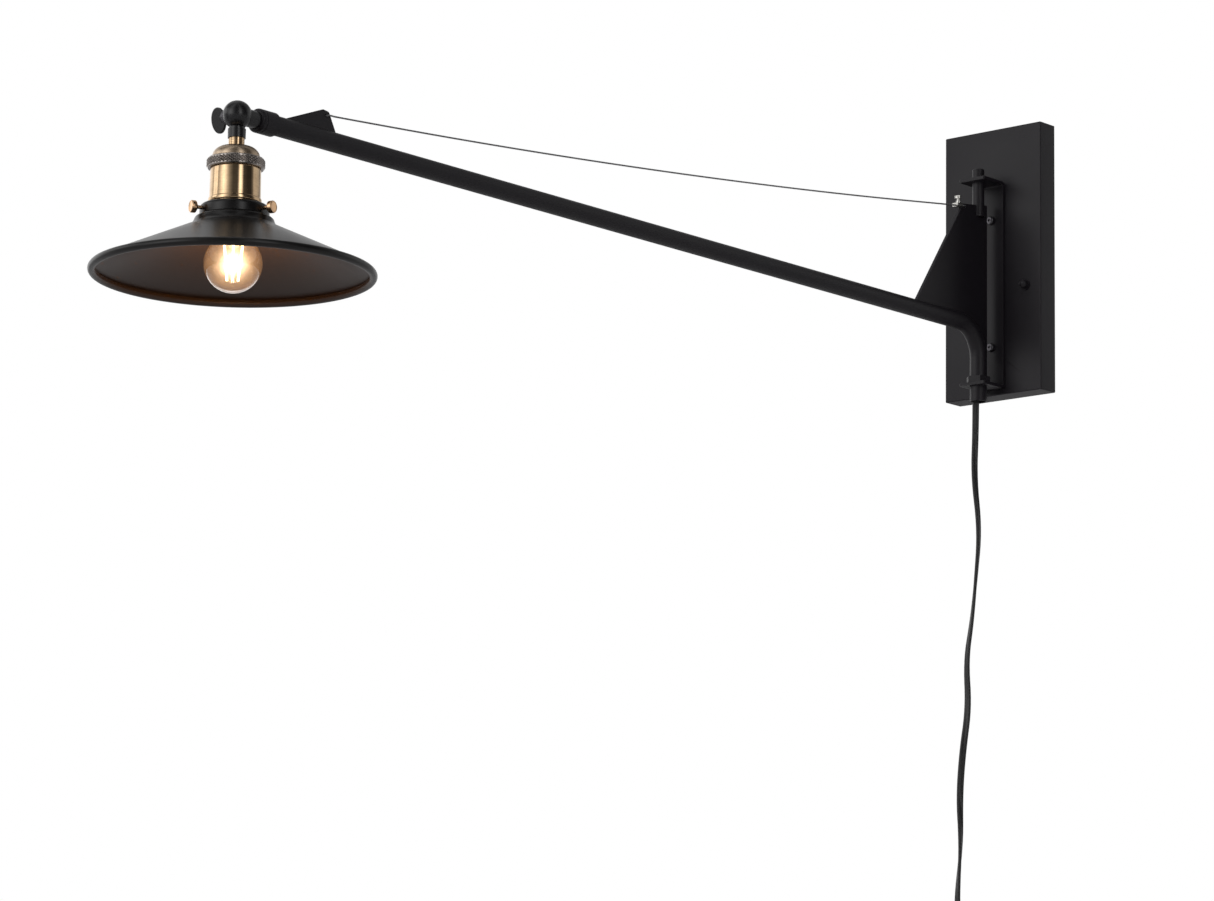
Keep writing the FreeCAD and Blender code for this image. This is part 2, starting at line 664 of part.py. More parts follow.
def head_cable():
    """The lead from the knuckle's neck down to the lampholder's terminals."""
    return rod((0, BALL_Y, ARM_Z - 14.0), (0, BALL_Y, ARM_Z - 43.0), CABLE_D)


# ---------------------------------------------------------------- wing screw

def wing_screw():
    """The screw that clamps the two halves: one flat oval leaf on a hub."""
    start = -BALL_R - 1.4
    hub = rod((start, BALL_Y, ARM_Z), (start - 3.4, BALL_Y, ARM_Z), 7.0)
    shank = rod((start, BALL_Y, ARM_Z), (6.0, BALL_Y, ARM_Z), 3.9)
    oval = Part.Ellipse(vec(0, 0, 0), LEAF_H / 2, LEAF_W / 2).toShape()
    leaf = Part.Face(Part.Wire([oval])).extrude(vec(0, 0, LEAF_T))
    leaf = leaf.makeFillet(0.8, [e for e in leaf.Edges if e.Closed])
    leaf.Placement = FreeCAD.Placement(
        vec(start - 0.4 - LEAF_W / 2, BALL_Y - LEAF_T / 2, ARM_Z - LEAF_DROP),
        FreeCAD.Rotation(Y_AXIS, -7.0) * FreeCAD.Rotation(Z_AXIS, X_AXIS, Y_AXIS, "XYZ"),
    )
    screw = hub.fuse([shank, leaf])
    screw.rotate(vec(0, BALL_Y, ARM_Z), X_AXIS, 9.0)
    return screw


def wing_washer():
    """The cupped steel washer between the hub and the ball."""
    outer = rod((-BALL_R - 1.3, BALL_Y, ARM_Z), (-BALL_R + 2.0, BALL_Y, ARM_Z), 11.6)
    bore = rod((-BALL_R - 3, BALL_Y, ARM_Z), (0, BALL_Y, ARM_Z), 4.2)
    return outer.cut([half_ball(-1, 0.02), bore])


# ---------------------------------------------------------------- mains lead

def cord_coil():
    """The outer shape of the coil: three rows of turns, two side by side."""
    half = COIL_TURN_COLUMNS * CORD_D / 2 + 0.2
    deep = COIL_TURN_ROWS * CORD_D / 2 + 0.2
    x, y, z = COIL_CENTRE
    outer = Part.makeCylinder(COIL_R + deep, 2 * half, vec(x, y - half, z), Y_AXIS)
    inner = Part.makeCylinder(COIL_R - deep, 2 * half + 2, vec(x, y - half - 1, z), Y_AXIS)
    ring = outer.cut(inner)
    return ring.makeFillet(2.6, [e for e in ring.Edges if e.Closed])


def cord_run(route, *ends):
    """The tube of the lead along a route, trimmed where it meets the coil or the plug."""
    wire, radii = route_wire([vec(*point) for point in route])
    tube = swept(wire, CORD_D)
    expected = math.pi * CORD_D ** 2 / 4 * wire.Length
    print(f"cord run {wire.Length:.1f} mm, radii", [round(r) for r in radii],
          f"volume {tube.Volume / expected:.4f} of section x length")
    return tube.cut(list(ends)) if ends else tube


def cord_tie():
    """The band round the top of the coil."""
    x, y, z = COIL_CENTRE
    half = COIL_TURN_COLUMNS * CORD_D / 2 + 0.2
    inside = z + COIL_R - COIL_TURN_ROWS * CORD_D / 2 - 0.9
    outside = z + COIL_R + COIL_TURN_ROWS * CORD_D / 2 + 0.3
    band = block(x - 4, x + 4, y - half - 1.2, y + half + 1.2, inside - 1.2, outside + 1.2)
    band = band.makeFillet(1.6, [e for e in band.Edges if e.BoundBox.XLength > 1])
    return band.cut(block(x - 9, x + 9, y - half, y + half, inside, outside))


def plug_place():
    x, y, z = TAIL_ROUTE[-1]
    return x, y, z


def plug_body():
    """The moulded two-pin plug at the lead's end, with a short tapered sleeve."""
    x, y, z = plug_place()
    body = block(x - PLUG_W / 2, x + PLUG_W / 2, y - PLUG_T / 2, y + PLUG_T / 2,
                 z - 9 - PLUG_H, z - 9)
    body = body.makeFillet(4.0, [e for e in body.Edges if e.BoundBox.ZMin > z - 9 - PLUG_H + 1])
    taper = Part.makeCone(CORD_D / 2 + 3.2, CORD_D / 2 + 1.2, 10.0, vec(x, y, z - 10.0))
    return body.fuse(taper).removeSplitter()


def plug_blade(side):
    x, y, z = plug_place()
    face = z - 9 - PLUG_H
    middle = x + side * BLADE_GAP / 2
    blade = block(middle - BLADE_T / 2, middle + BLADE_T / 2, y - BLADE_W / 2, y + BLADE_W / 2,
                  face - BLADE_L, face)
    hole = rod((middle - 2, y, face - BLADE_L + 4), (middle + 2, y, face - BLADE_L + 4), 3.0)
    return blade.cut(hole)


def main():
    os.makedirs("parts", exist_ok=True)

    export("back_plate", back_plate())
    export("mounting_plate", mounting_plate())
    export("canopy_studs", *[canopy_stud(x) for x in (-STUD_X, STUD_X)])
    export("cap_nuts", *[cap_nut(x) for x in (-STUD_X, STUD_X)])
    export("pivot_bracket", pivot_bracket())
    export("bracket_screws", *[bracket_screw(z) for z in BRACKET_SCREW_Z])
    export("bracket_nuts", *[bracket_nut(z) for z in BRACKET_SCREW_Z])

    export("arm_tube", arm_tube())
    gusset = export("gusset_plate", gusset_plate())
    export("pivot_pin", pivot_pin(gusset))
    export("swing_nut", swing_nut())
    export("fin_plate", fin_plate())
    wire = export("stay_wire", stay_wire())
    export("wire_ferrule", wire_ferrule(wire))
    clamp = export("wire_clamp", wire_clamp(wire))
    export("clamp_screw", clamp_screw(clamp))
    export("end_collar", end_collar())
    export("knuckle_arm_half", knuckle_arm_half())
    export("arm_cable", arm_cable())

    export("knuckle_lamp_half", knuckle_lamp_half())
    export("nipple", nipple())
    export("nipple_nut", nipple_nut())
    export("socket_cap", socket_cap())
    export("socket_ring", socket_ring())
    export("socket_shell", socket_shell())
    export("socket_core", socket_core())
    export("screw_shell", screw_shell())
    export("centre_contact", centre_contact())
    export("terminal_screws", *[terminal_screw(a) for a in (60.0, 240.0)])
    export("head_cable", head_cable())
    export("shade_holder", shade_holder())
    export("thumbscrews", *[thumbscrew(angle, head) for angle, head in THUMBSCREWS])
    export("shade", shade())
    export("bulb_glass", bulb_glass())
    export("bulb_cap", bulb_cap())
    export("bulb_tip", bulb_tip())
    stem = export("bulb_stem", bulb_stem())
    export("bulb_filaments", *[filament(k) for k in range(4)])
    post, leads = filament_leads(stem)
    export("filament_leads", post, *leads)

    export("wing_screw", wing_screw())
    export("wing_washer", wing_washer())

    coil = export("cord_coil", cord_coil())
    plug = export("plug_body", plug_body())
    export("cord_lead", cord_run(LEAD_ROUTE, coil))
    export("cord_tail", cord_run(TAIL_ROUTE, coil, plug))
    export("cord_tie", cord_tie())
    export("plug_blades", *[plug_blade(side) for side in (-1, 1)])


main()
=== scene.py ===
"""Swing arm wall sconce with a plug-in lead: the visual model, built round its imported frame.

The frame is in metres, +Z up, with the wall in the plane Y = 0 and the arm along -Y. Sizes in
this file are in millimetres and are scaled once, when a mesh is finished. Each sub-assembly is
a class that builds its own pieces and dresses the frame's nodes that it keeps.
"""

import json
import logging
import math
from dataclasses import dataclass, field
from enum import Enum
from typing import Any, Callable, Sequence

import bmesh
import bpy
from mathutils import Matrix, Vector

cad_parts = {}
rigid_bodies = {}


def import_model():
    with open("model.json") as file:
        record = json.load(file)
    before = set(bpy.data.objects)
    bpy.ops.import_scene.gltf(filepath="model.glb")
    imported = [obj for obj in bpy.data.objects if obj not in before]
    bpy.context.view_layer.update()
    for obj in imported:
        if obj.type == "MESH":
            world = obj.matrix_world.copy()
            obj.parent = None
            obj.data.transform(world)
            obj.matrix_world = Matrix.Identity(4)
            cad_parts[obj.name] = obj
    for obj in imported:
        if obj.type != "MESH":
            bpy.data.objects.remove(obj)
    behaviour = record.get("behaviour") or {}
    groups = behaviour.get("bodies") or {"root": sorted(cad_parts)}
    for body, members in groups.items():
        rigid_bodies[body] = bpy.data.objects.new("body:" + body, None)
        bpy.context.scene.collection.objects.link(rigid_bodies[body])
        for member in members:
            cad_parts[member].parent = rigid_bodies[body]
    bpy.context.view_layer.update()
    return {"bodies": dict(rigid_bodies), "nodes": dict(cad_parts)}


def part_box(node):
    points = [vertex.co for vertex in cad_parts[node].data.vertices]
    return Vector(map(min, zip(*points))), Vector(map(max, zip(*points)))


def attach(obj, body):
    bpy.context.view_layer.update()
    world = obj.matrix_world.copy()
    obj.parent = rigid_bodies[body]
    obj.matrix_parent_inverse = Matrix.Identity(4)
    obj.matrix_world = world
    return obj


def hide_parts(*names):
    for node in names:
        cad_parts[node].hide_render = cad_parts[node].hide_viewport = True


# Short names for the types that recur.
BMesh = bmesh.types.BMesh
Material = bpy.types.Material
Socket = bpy.types.NodeSocket
Tree = bpy.types.NodeTree
Place = tuple[float, float, float]

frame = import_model()

LOG = logging.getLogger("sconce")
MM = 0.001
Z_AXIS = Vector((0, 0, 1))


class Body(Enum):
    """The frame's rigid bodies."""

    WALL = "wall_mount"
    ARM = "swing_arm"
    HEAD = "lamp_head"
    TILT = "tilt_screw"


# -------- shared tools


def box_mm(node: str) -> tuple[Vector, Vector]:
    """The lowest and highest corner of a frame node, in millimetres.

    Args:
        node: the frame node's name.

    Returns:
        Both corners.
    """
    low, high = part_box(node)
    return low / MM, high / MM


def linear(colour: str) -> tuple[float, float, float, float]:
    """Turns an sRGB hex colour such as "8a7f70" into the linear colour that shaders take.

    Args:
        colour: six hex digits.

    Returns:
        Red, green, blue and an alpha of 1.
    """
    channels = [int(colour[at : at + 2], 16) / 255 for at in (0, 2, 4)]
    flat = [c / 12.92 if c <= 0.04045 else ((c + 0.055) / 1.055) ** 2.4 for c in channels]
    return (*flat, 1.0)


def add_node(
    tree: Tree,
    kind: str,
    settings: dict[str, Any] | None = None,
    inputs: dict[Any, Any] | None = None,
) -> bpy.types.Node:
    """Adds a node with its settings, and fills or links its inputs.

    Args:
        tree: the node tree that the node goes into.
        kind: the node's type name.
        settings: properties of the node.
        inputs: input sockets by name or number, each a value or the output that feeds it.

    Returns:
        The new node.
    """
    node = tree.nodes.new(kind)
    for name, value in (settings or {}).items():
        setattr(node, name, value)
    for name, value in (inputs or {}).items():
        if isinstance(value, Socket):
            tree.links.new(value, node.inputs[name])
        else:
            node.inputs[name].default_value = value
    return node


def compute(tree: Tree, operation: str, first: Any, second: Any) -> Socket:
    """Works out a product, a power or the like.

    Args:
        tree: the node tree.
        operation: the sum's name, as the Math node has it.
        first: the first number, or the output that gives it.
        second: the second number, or the output that gives it.

    Returns:
        The answer.
    """
    node = add_node(tree, "ShaderNodeMath", {"operation": operation}, {0: first, 1: second})
    return node.outputs[0]


def finish_piece(
    bm: BMesh,
    name: str,
    body: Body,
    material: Material,
    replaces: Sequence[str] = (),
    sharp: float = 35.0,
) -> bpy.types.Object:
    """Makes the mesh in millimetres into an object that rides on a body.

    Args:
        bm: the mesh, which is used up.
        name: the piece's name.
        body: the body that it moves with.
        material: its finish.
        replaces: frame nodes that it stands for.
        sharp: edges that turn more than this many degrees stay sharp.

    Returns:
        The finished object.
    """
    bmesh.ops.scale(bm, vec=(MM, MM, MM), verts=bm.verts)
    mesh = bpy.data.meshes.new(name)
    bm.to_mesh(mesh)
    bm.free()
    mesh.polygons.foreach_set("use_smooth", [True] * len(mesh.polygons))
    mesh.set_sharp_from_angle(angle=math.radians(sharp))
    mesh.materials.append(material)
    piece = bpy.data.objects.new(name, mesh)
    bpy.context.scene.collection.objects.link(piece)
    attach(piece, body.value)
    if replaces:
        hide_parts(*replaces)
    LOG.info("%s: %d faces on %s", name, len(mesh.polygons), body.value)
    return piece


def dress(material: Material, *nodes: str) -> None:
    """Gives frame nodes a finish.

    Args:
        material: the finish.
        nodes: the frame nodes that take it.
    """
    for node in nodes:
        slots = frame["nodes"][node].data.materials
        slots.clear()
        slots.append(material)
        LOG.info("%s keeps its frame mesh, in %s", node, material.name)


def lathe(profile: Sequence[tuple[float, ...]], steps: int = 96) -> BMesh:
    """Spins a profile about the Z axis.

    Args:
        profile: (radius, height) points in order, with a third number where the corner is
            rounded: how far along its sides the rounding starts. A profile that starts and
            ends at radius 0 is closed by the axis.
        steps: how many faces go round.

    Returns:
        The turned mesh, with its faces outwards.
    """
    bm = bmesh.new()
    corners = [bm.verts.new((point[0], 0.0, point[1])) for point in profile]
    bm.faces.new(corners)
    for corner, point in zip(corners, profile):
        if len(point) > 2:
            bmesh.ops.bevel(
                bm, geom=[corner], offset=point[2], offset_type="OFFSET", affect="VERTICES",
                segments=4, profile=0.5, clamp_overlap=True, material=-1,
            )
    on_axis = [e for e in bm.edges if all(v.co.x < 1e-6 for v in e.verts)]
    bmesh.ops.delete(bm, geom=bm.faces[:], context="FACES_ONLY")
    bmesh.ops.delete(bm, geom=on_axis, context="EDGES")
    bmesh.ops.spin(
        bm, geom=bm.verts[:] + bm.edges[:], cent=(0, 0, 0), axis=Z_AXIS, dvec=(0, 0, 0),
        angle=math.tau, steps=steps, use_merge=True, use_duplicate=False,
    )
    bmesh.ops.remove_doubles(bm, verts=bm.verts, dist=1e-4)
    bmesh.ops.recalc_face_normals(bm, faces=bm.faces)
    return bm


def round_edges(
    bm: BMesh, edges: Sequence[bmesh.types.BMEdge], offset: float, segments: int,
    clamp: bool = False,
) -> None:
    """Rounds some of a mesh's edges.

    Args:
        bm: the mesh.
        edges: the edges.
        offset: how far from each edge the rounding starts.
        segments: how many faces it has across.
        clamp: True if it stops where two roundings would meet.
    """
    bmesh.ops.bevel(
        bm, geom=edges, offset=offset, offset_type="OFFSET", affect="EDGES", segments=segments,
        profile=0.5, clamp_overlap=clamp, material=-1,
    )


def ease_edges(node: str, name: str, body: Body, paint: Material, offset: float) -> bpy.types.Object:
    """Replaces a painted node by a copy with rounded edges, which catch a thin line of light.

    Args:
        node: the frame node.
        name: the new piece's name.
        body: the body that it moves with.
        paint: its finish, which stands for the black paint.
        offset: how far from each edge the rounding starts, in millimetres.

    Returns:
        The new piece.
    """
    bm = bmesh.new()
    bm.from_mesh(frame["nodes"][node].data)
    bmesh.ops.scale(bm, vec=(1 / MM, 1 / MM, 1 / MM), verts=bm.verts)
    bmesh.ops.remove_doubles(bm, verts=bm.verts, dist=1e-3)
    bmesh.ops.dissolve_limit(
        bm, angle_limit=math.radians(2), use_dissolve_boundaries=False, verts=bm.verts,
        edges=bm.edges,
    )
    folds = [e for e in bm.edges if e.is_manifold and e.calc_face_angle() > math.radians(50)]
    round_edges(bm, folds, offset, 2, clamp=True)
    return finish_piece(bm, name, body, paint, (node,), sharp=20)


def join(bm: BMesh, other: BMesh, place: Matrix | None = None) -> None:
    """Adds another mesh to this one, and uses it up.

    Args:
        bm: the mesh that grows.
        other: the mesh that is added.
        place: where the other mesh goes.
    """
    if place:
        bmesh.ops.transform(other, matrix=place, verts=other.verts)
    carrier = bpy.data.meshes.new("carrier")
    other.to_mesh(carrier)
    other.free()
    bm.from_mesh(carrier)
    bpy.data.meshes.remove(carrier)


def spline_points(route: Sequence[Sequence[float]], resolution: int) -> list[Vector]:
    """Reads points from the smooth line that a route's points steer.

    Args:
        route: the control points, in metres.
        resolution: how many points the line has for each of them.

    Returns:
        The line's points in order, in metres.
    """
    curve = bpy.data.curves.new("route", "CURVE")
    curve.dimensions = "3D"
    line = curve.splines.new("NURBS")
    line.points.add(len(route) - 1)
    for point, place in zip(line.points, route):
        point.co = (*place, 1.0)
    line.order_u = 3
    line.use_endpoint_u = True
    line.resolution_u = resolution
    holder = bpy.data.objects.new("route", curve)
    mesh = bpy.data.meshes.new_from_object(holder)
    points = [vertex.co.copy() for vertex in mesh.vertices]
    bpy.data.meshes.remove(mesh)
    bpy.data.objects.remove(holder)
    bpy.data.curves.remove(curve)
    return points


def swept_tube(
    line: Sequence[Vector],
    section: Sequence[tuple[float, float]],
    side_at: Callable[[int, Vector], Vector],
) -> BMesh:
    """Carries a closed section along a line.

    Args:
        line: the line's points, in millimetres.
        section: the section's (sideways, outwards) points.
        side_at: gives the sideways direction at a point's number, from the line's direction.

    Returns:
        The tube, with its ends closed.
    """
    bm = bmesh.new()
    rings = []
    for number, point in enumerate(line):
        before, after = line[max(number - 1, 0)], line[min(number + 1, len(line) - 1)]
        along = (after - before).normalized()
        side = side_at(number, along)
        side = (side - along * side.dot(along)).normalized()
        out = along.cross(side)
        rings.append([bm.verts.new(point + side * a + out * b) for a, b in section])
    for near, far in zip(rings, rings[1:]):
        for k in range(len(section)):
            m = (k + 1) % len(section)
            bm.faces.new((near[k], near[m], far[m], far[k]))
    bm.faces.new(list(reversed(rings[0])))
    bm.faces.new(rings[-1])
    bmesh.ops.recalc_face_normals(bm, faces=bm.faces)
    return bm


# -------- finishes


@dataclass(frozen=True)
class Surface:
    """A material's nodes while its pattern is drawn. The place is in metres."""

    tree: Tree
    shader: bpy.types.Node
    place: Socket

    def link(self, source: Socket, socket: str) -> None:
        """Feeds one of the shader's sockets.

        Args:
            source: the output that feeds it.
            socket: the socket's name.
        """
        self.tree.links.new(source, self.shader.inputs[socket])

    def noise(self, scale: float, **more: Any) -> Socket:
        """Draws cloudy noise over the piece.

        Args:
            scale: how many clouds there are in a metre.
            more: the noise node's other inputs.

        Returns:
            The noise, from 0 to 1.
        """
        inputs = {"Vector": self.place, "Scale": scale, **more}
        return add_node(self.tree, "ShaderNodeTexNoise", inputs=inputs).outputs["Fac"]

    def stretch(
        self, value: Socket, low: float, high: float,
        span: tuple[float, float] = (0.0, 1.0),
    ) -> Socket:
        """Maps a value from one range to another.

        Args:
            value: the value.
            low: what the start of the span becomes.
            high: what its end becomes.
            span: the range that the value comes from.

        Returns:
            The mapped value.
        """
        mapped = add_node(self.tree, "ShaderNodeMapRange", inputs={
            "Value": value, "From Min": span[0], "From Max": span[1], "To Min": low, "To Max": high,
        })
        return mapped.outputs[0]

    def blend(
        self, share: Socket, first: Sequence[float], second: Sequence[float],
        socket: str = "Base Color",
    ) -> None:
        """Gives the shader a mix of two colours.

        Args:
            share: how much of the second colour shows.
            first: the first colour.
            second: the second colour.
            socket: the shader's socket that takes the mix.
        """
        mixed = add_node(self.tree, "ShaderNodeMix", {"data_type": "RGBA"}, {
            "Factor": share, 6: first, 7: second,
        })
        self.link(mixed.outputs[2], socket)

    def emboss(self, height: Socket, depth: float, strength: float = 1.0) -> None:
        """Raises the surface by a pattern, on top of what already raises it.

        Args:
            height: the pattern, from 0 to 1.
            depth: how far it rises, in millimetres.
            strength: how much of that shows.
        """
        inputs = {"Height": height, "Distance": depth * MM, "Strength": strength}
        normal = self.shader.inputs["Normal"]
        if normal.is_linked:
            inputs["Normal"] = normal.links[0].from_socket
        self.link(add_node(self.tree, "ShaderNodeBump", inputs=inputs).outputs[0], "Normal")


@dataclass(frozen=True)
class Finish:
    """A plain surface finish, and the base of the patterned ones.

    The centre is the middle of a pattern, in metres, for finishes that were turned on a lathe.
    """

    name: str
    colour: str
    metallic: float = 0.0
    roughness: float = 0.5
    centre: Place = (0.0, 0.0, 0.0)

    def material(self) -> Material:
        """Builds the material."""
        made = bpy.data.materials.new(self.name)
        made.use_nodes = True
        tree = made.node_tree
        tree.nodes.clear()
        shader = add_node(tree, "ShaderNodeBsdfPrincipled", inputs={
            "Base Color": linear(self.colour),
            "Metallic": self.metallic,
            "Roughness": self.roughness,
        })
        add_node(tree, "ShaderNodeOutputMaterial", inputs={"Surface": shader.outputs[0]})
        coordinates = add_node(tree, "ShaderNodeTexCoord")
        place = add_node(tree, "ShaderNodeMapping", inputs={
            "Vector": coordinates.outputs["Object"],
            "Location": [-value for value in self.centre],
        })
        self.pattern(Surface(tree, shader, place.outputs[0]))
        made.diffuse_color = linear(self.colour)
        return made

    def pattern(self, surface: Surface) -> None:
        """Adds the finish's own pattern. A plain finish has a faint cloud in its gloss.

        Args:
            surface: the material's nodes, with the place measured from the centre.
        """
        self.vary_gloss(surface, surface.noise(60.0, Detail=4.0, Roughness=0.6), -0.06, 0.06)

    def vary_gloss(self, surface: Surface, source: Socket, low: float, high: float) -> None:
        """Lets the roughness follow a pattern.

        Args:
            surface: the material's nodes.
            source: the pattern, from 0 to 1.
            low: what a pattern of 0 adds to the roughness.
            high: what a pattern of 1 adds to it.
        """
        rough = surface.stretch(source, self.roughness + low, self.roughness + high)
        surface.link(rough, "Roughness")


@dataclass(frozen=True)
class PowderCoat(Finish):
    """Satin black powder coat on steel: a fine orange peel that breaks up the highlights.

    The peel is about 0.8 mm across and is drawn 12 microns deep. The resin reflects less than a
    clear varnish does, so the specular level is below the usual 0.5 on the steel parts.
    """

    peel: float = 0.8
    depth: float = 0.012
    specular: float = 0.3

    def pattern(self, surface: Surface) -> None:
        """Adds the orange peel, a slow drift of tone, and a gloss that varies over the sheet."""
        surface.shader.inputs["Specular IOR Level"].default_value = self.specular
        drift = surface.noise(14.0, Detail=3.0, Roughness=0.55)
        dark = linear(self.colour)
        light = (*(min(1.0, value * 1.5) for value in dark[:3]), 1.0)
        surface.blend(drift, dark, light)
        self.vary_gloss(surface, drift, -0.07, 0.07)
        surface.emboss(surface.noise(1 / (self.peel * MM), Detail=2.0), self.depth)


@dataclass(frozen=True)
class SpunEnamel(PowderCoat):
    """Satin enamel over spun steel: the tool's rings show faintly through the paint."""

    ring: float = 1.6
    ring_depth: float = 0.02

    def pattern(self, surface: Surface) -> None:
        """Adds the spinning rings, a slow drift of tone, and the gloss."""
        super().pattern(surface)
        tree = surface.tree
        apart = add_node(tree, "ShaderNodeSeparateXYZ", inputs={0: surface.place})
        flat = add_node(tree, "ShaderNodeCombineXYZ", inputs={
            0: apart.outputs[0], 1: apart.outputs[1],
        })
        radius = add_node(tree, "ShaderNodeVectorMath", {"operation": "LENGTH"}, {
            0: flat.outputs[0],
        })
        rings = add_node(tree, "ShaderNodeTexNoise", {"noise_dimensions": "1D"}, {
            "W": radius.outputs["Value"], "Scale": 1 / (self.ring * MM), "Detail": 2.0,
        })
        surface.emboss(rings.outputs["Fac"], self.ring_depth)


@dataclass(frozen=True)
class BrushedBrass(Finish):
    """Brass brushed on a lathe and lightly aged: fine rings that pull highlights upright.

    The grit leaves lines about 0.1 mm apart. They are drawn 0.35 mm apart, so that they show.
    """

    aged: str = "6d5638"
    line: float = 0.35
    line_depth: float = 0.004
    wear: float = 0.5

    def pattern(self, surface: Surface) -> None:
        """Adds the brushing, which goes round the axis, and the tarnish."""
        drawn_out = add_node(surface.tree, "ShaderNodeVectorMath", {"operation": "MULTIPLY"}, {
            0: surface.place, 1: (0.02, 0.02, 1.0),
        })
        lines = surface.noise(
            1 / (self.line * MM), Vector=drawn_out.outputs[0], Detail=4.0, Roughness=0.7,
        )
        tarnish = surface.noise(110.0, Detail=6.0, Roughness=0.65)
        both = compute(surface.tree, "MULTIPLY", lines, tarnish)
        share = surface.stretch(both, 0.0, self.wear, (0.12, 0.42))
        surface.blend(share, linear(self.colour), linear(self.aged))
        self.vary_gloss(surface, lines, -0.04, 0.06)
        surface.emboss(lines, self.line_depth)


@dataclass(frozen=True)
class ClearGlass(Finish):
    """Clear blown glass. Lamps and daylight pass through it without a hard shadow.

    The painted glare is warm emission painted onto the glass, standing in for the glare of the lit
    coating: it is strongest where the glass is seen square on, and gone at the outline. Each entry
    of painted glare is a power, a gain and a colour: the higher the power, the closer the painted
    glare keeps to the middle.
    """

    painted_glare: tuple[tuple[float, float, str], ...] = ()

    def pattern(self, surface: Surface) -> None:
        """Makes the shader transmit, with the faint waviness of a blown wall."""
        tree, shader = surface.tree, surface.shader
        shader.inputs["Transmission Weight"].default_value = 1.0
        shader.inputs["IOR"].default_value = 1.5
        surface.emboss(surface.noise(45.0), 0.1, 0.5)
        through = add_node(tree, "ShaderNodeBsdfTransparent")
        rays = add_node(tree, "ShaderNodeLightPath")
        unseen = compute(
            tree, "MAXIMUM", rays.outputs["Is Shadow Ray"], rays.outputs["Is Diffuse Ray"],
        )
        clear = add_node(tree, "ShaderNodeMixShader", inputs={
            0: unseen, 1: shader.outputs[0], 2: through.outputs[0],
        })
        output = next(n for n in tree.nodes if n.type == "OUTPUT_MATERIAL")
        tree.links.new(self.with_painted_glare(surface, clear.outputs[0]), output.inputs["Surface"])

    def with_painted_glare(self, surface: Surface, clear: Socket) -> Socket:
        """Adds the painted glare to the clear glass, in faint patches: emission painted onto the
        glass.

        Args:
            surface: the material's nodes.
            clear: the clear glass.

        Returns:
            The glass with its painted glare.
        """
        tree, lit = surface.tree, clear
        edge = add_node(tree, "ShaderNodeLayerWeight", inputs={"Blend": 0.5})
        square = compute(tree, "SUBTRACT", 1.0, edge.outputs["Facing"])
        patches = surface.stretch(surface.noise(160.0), 0.7, 1.3, (0.3, 0.7))
        for power, gain, colour in self.painted_glare:
            near = compute(tree, "MULTIPLY", compute(tree, "POWER", square, power), gain)
            # Painted glare: emission on the glass, brightest where the glass is seen square on.
            painted_haze = add_node(tree, "ShaderNodeEmission", inputs={
                "Color": linear(colour), "Strength": compute(tree, "MULTIPLY", near, patches),
            })
            both = add_node(tree, "ShaderNodeAddShader", inputs={0: lit, 1: painted_haze.outputs[0]})
            lit = both.outputs[0]
        return lit


@dataclass(frozen=True)
class Glow(Finish):
    """A phosphor coating that is lit: it gives warm light of its own."""

    pale: str = "ffe2b4"
    deep: str = "ffd596"
    strength: float = 6.0

    def pattern(self, surface: Surface) -> None:
        """Adds the light, which is uneven as the coating is."""
        grain = surface.noise(900.0)
        surface.blend(grain, linear(self.deep), linear(self.pale), "Emission Color")
        surface.shader.inputs["Emission Strength"].default_value = self.strength


@dataclass(frozen=True)
class DrawnWire(Finish):
    """Drawn or plated metal with fine dark specks."""

    def pattern(self, surface: Surface) -> None:
        """Adds the specks and a gloss that varies with them."""
        specks = surface.noise(700.0, Detail=5.0)
        tone = surface.stretch(specks, 0.65, 1.0, (0.35, 0.6))
        colour = add_node(surface.tree, "ShaderNodeVectorMath", {"operation": "SCALE"}, {
            0: linear(self.colour)[:3], "Scale": tone,
        })
        surface.link(colour.outputs[0], "Base Color")
        self.vary_gloss(surface, specks, 0.1, -0.1)


@dataclass(frozen=True)
class SoftSheath(Finish):
    """Extruded flexible PVC: satin, with the faint dusty drag marks that a lead picks up."""

    dusty: str = "4a484a"

    def pattern(self, surface: Surface) -> None:
        """Adds the drag marks and an uneven gloss."""
        dust = surface.noise(260.0, Detail=6.0, Roughness=0.7)
        share = surface.stretch(dust, 0.0, 0.25, (0.5, 0.8))
        surface.blend(share, linear(self.colour), linear(self.dusty))
        self.vary_gloss(surface, dust, -0.1, 0.12)


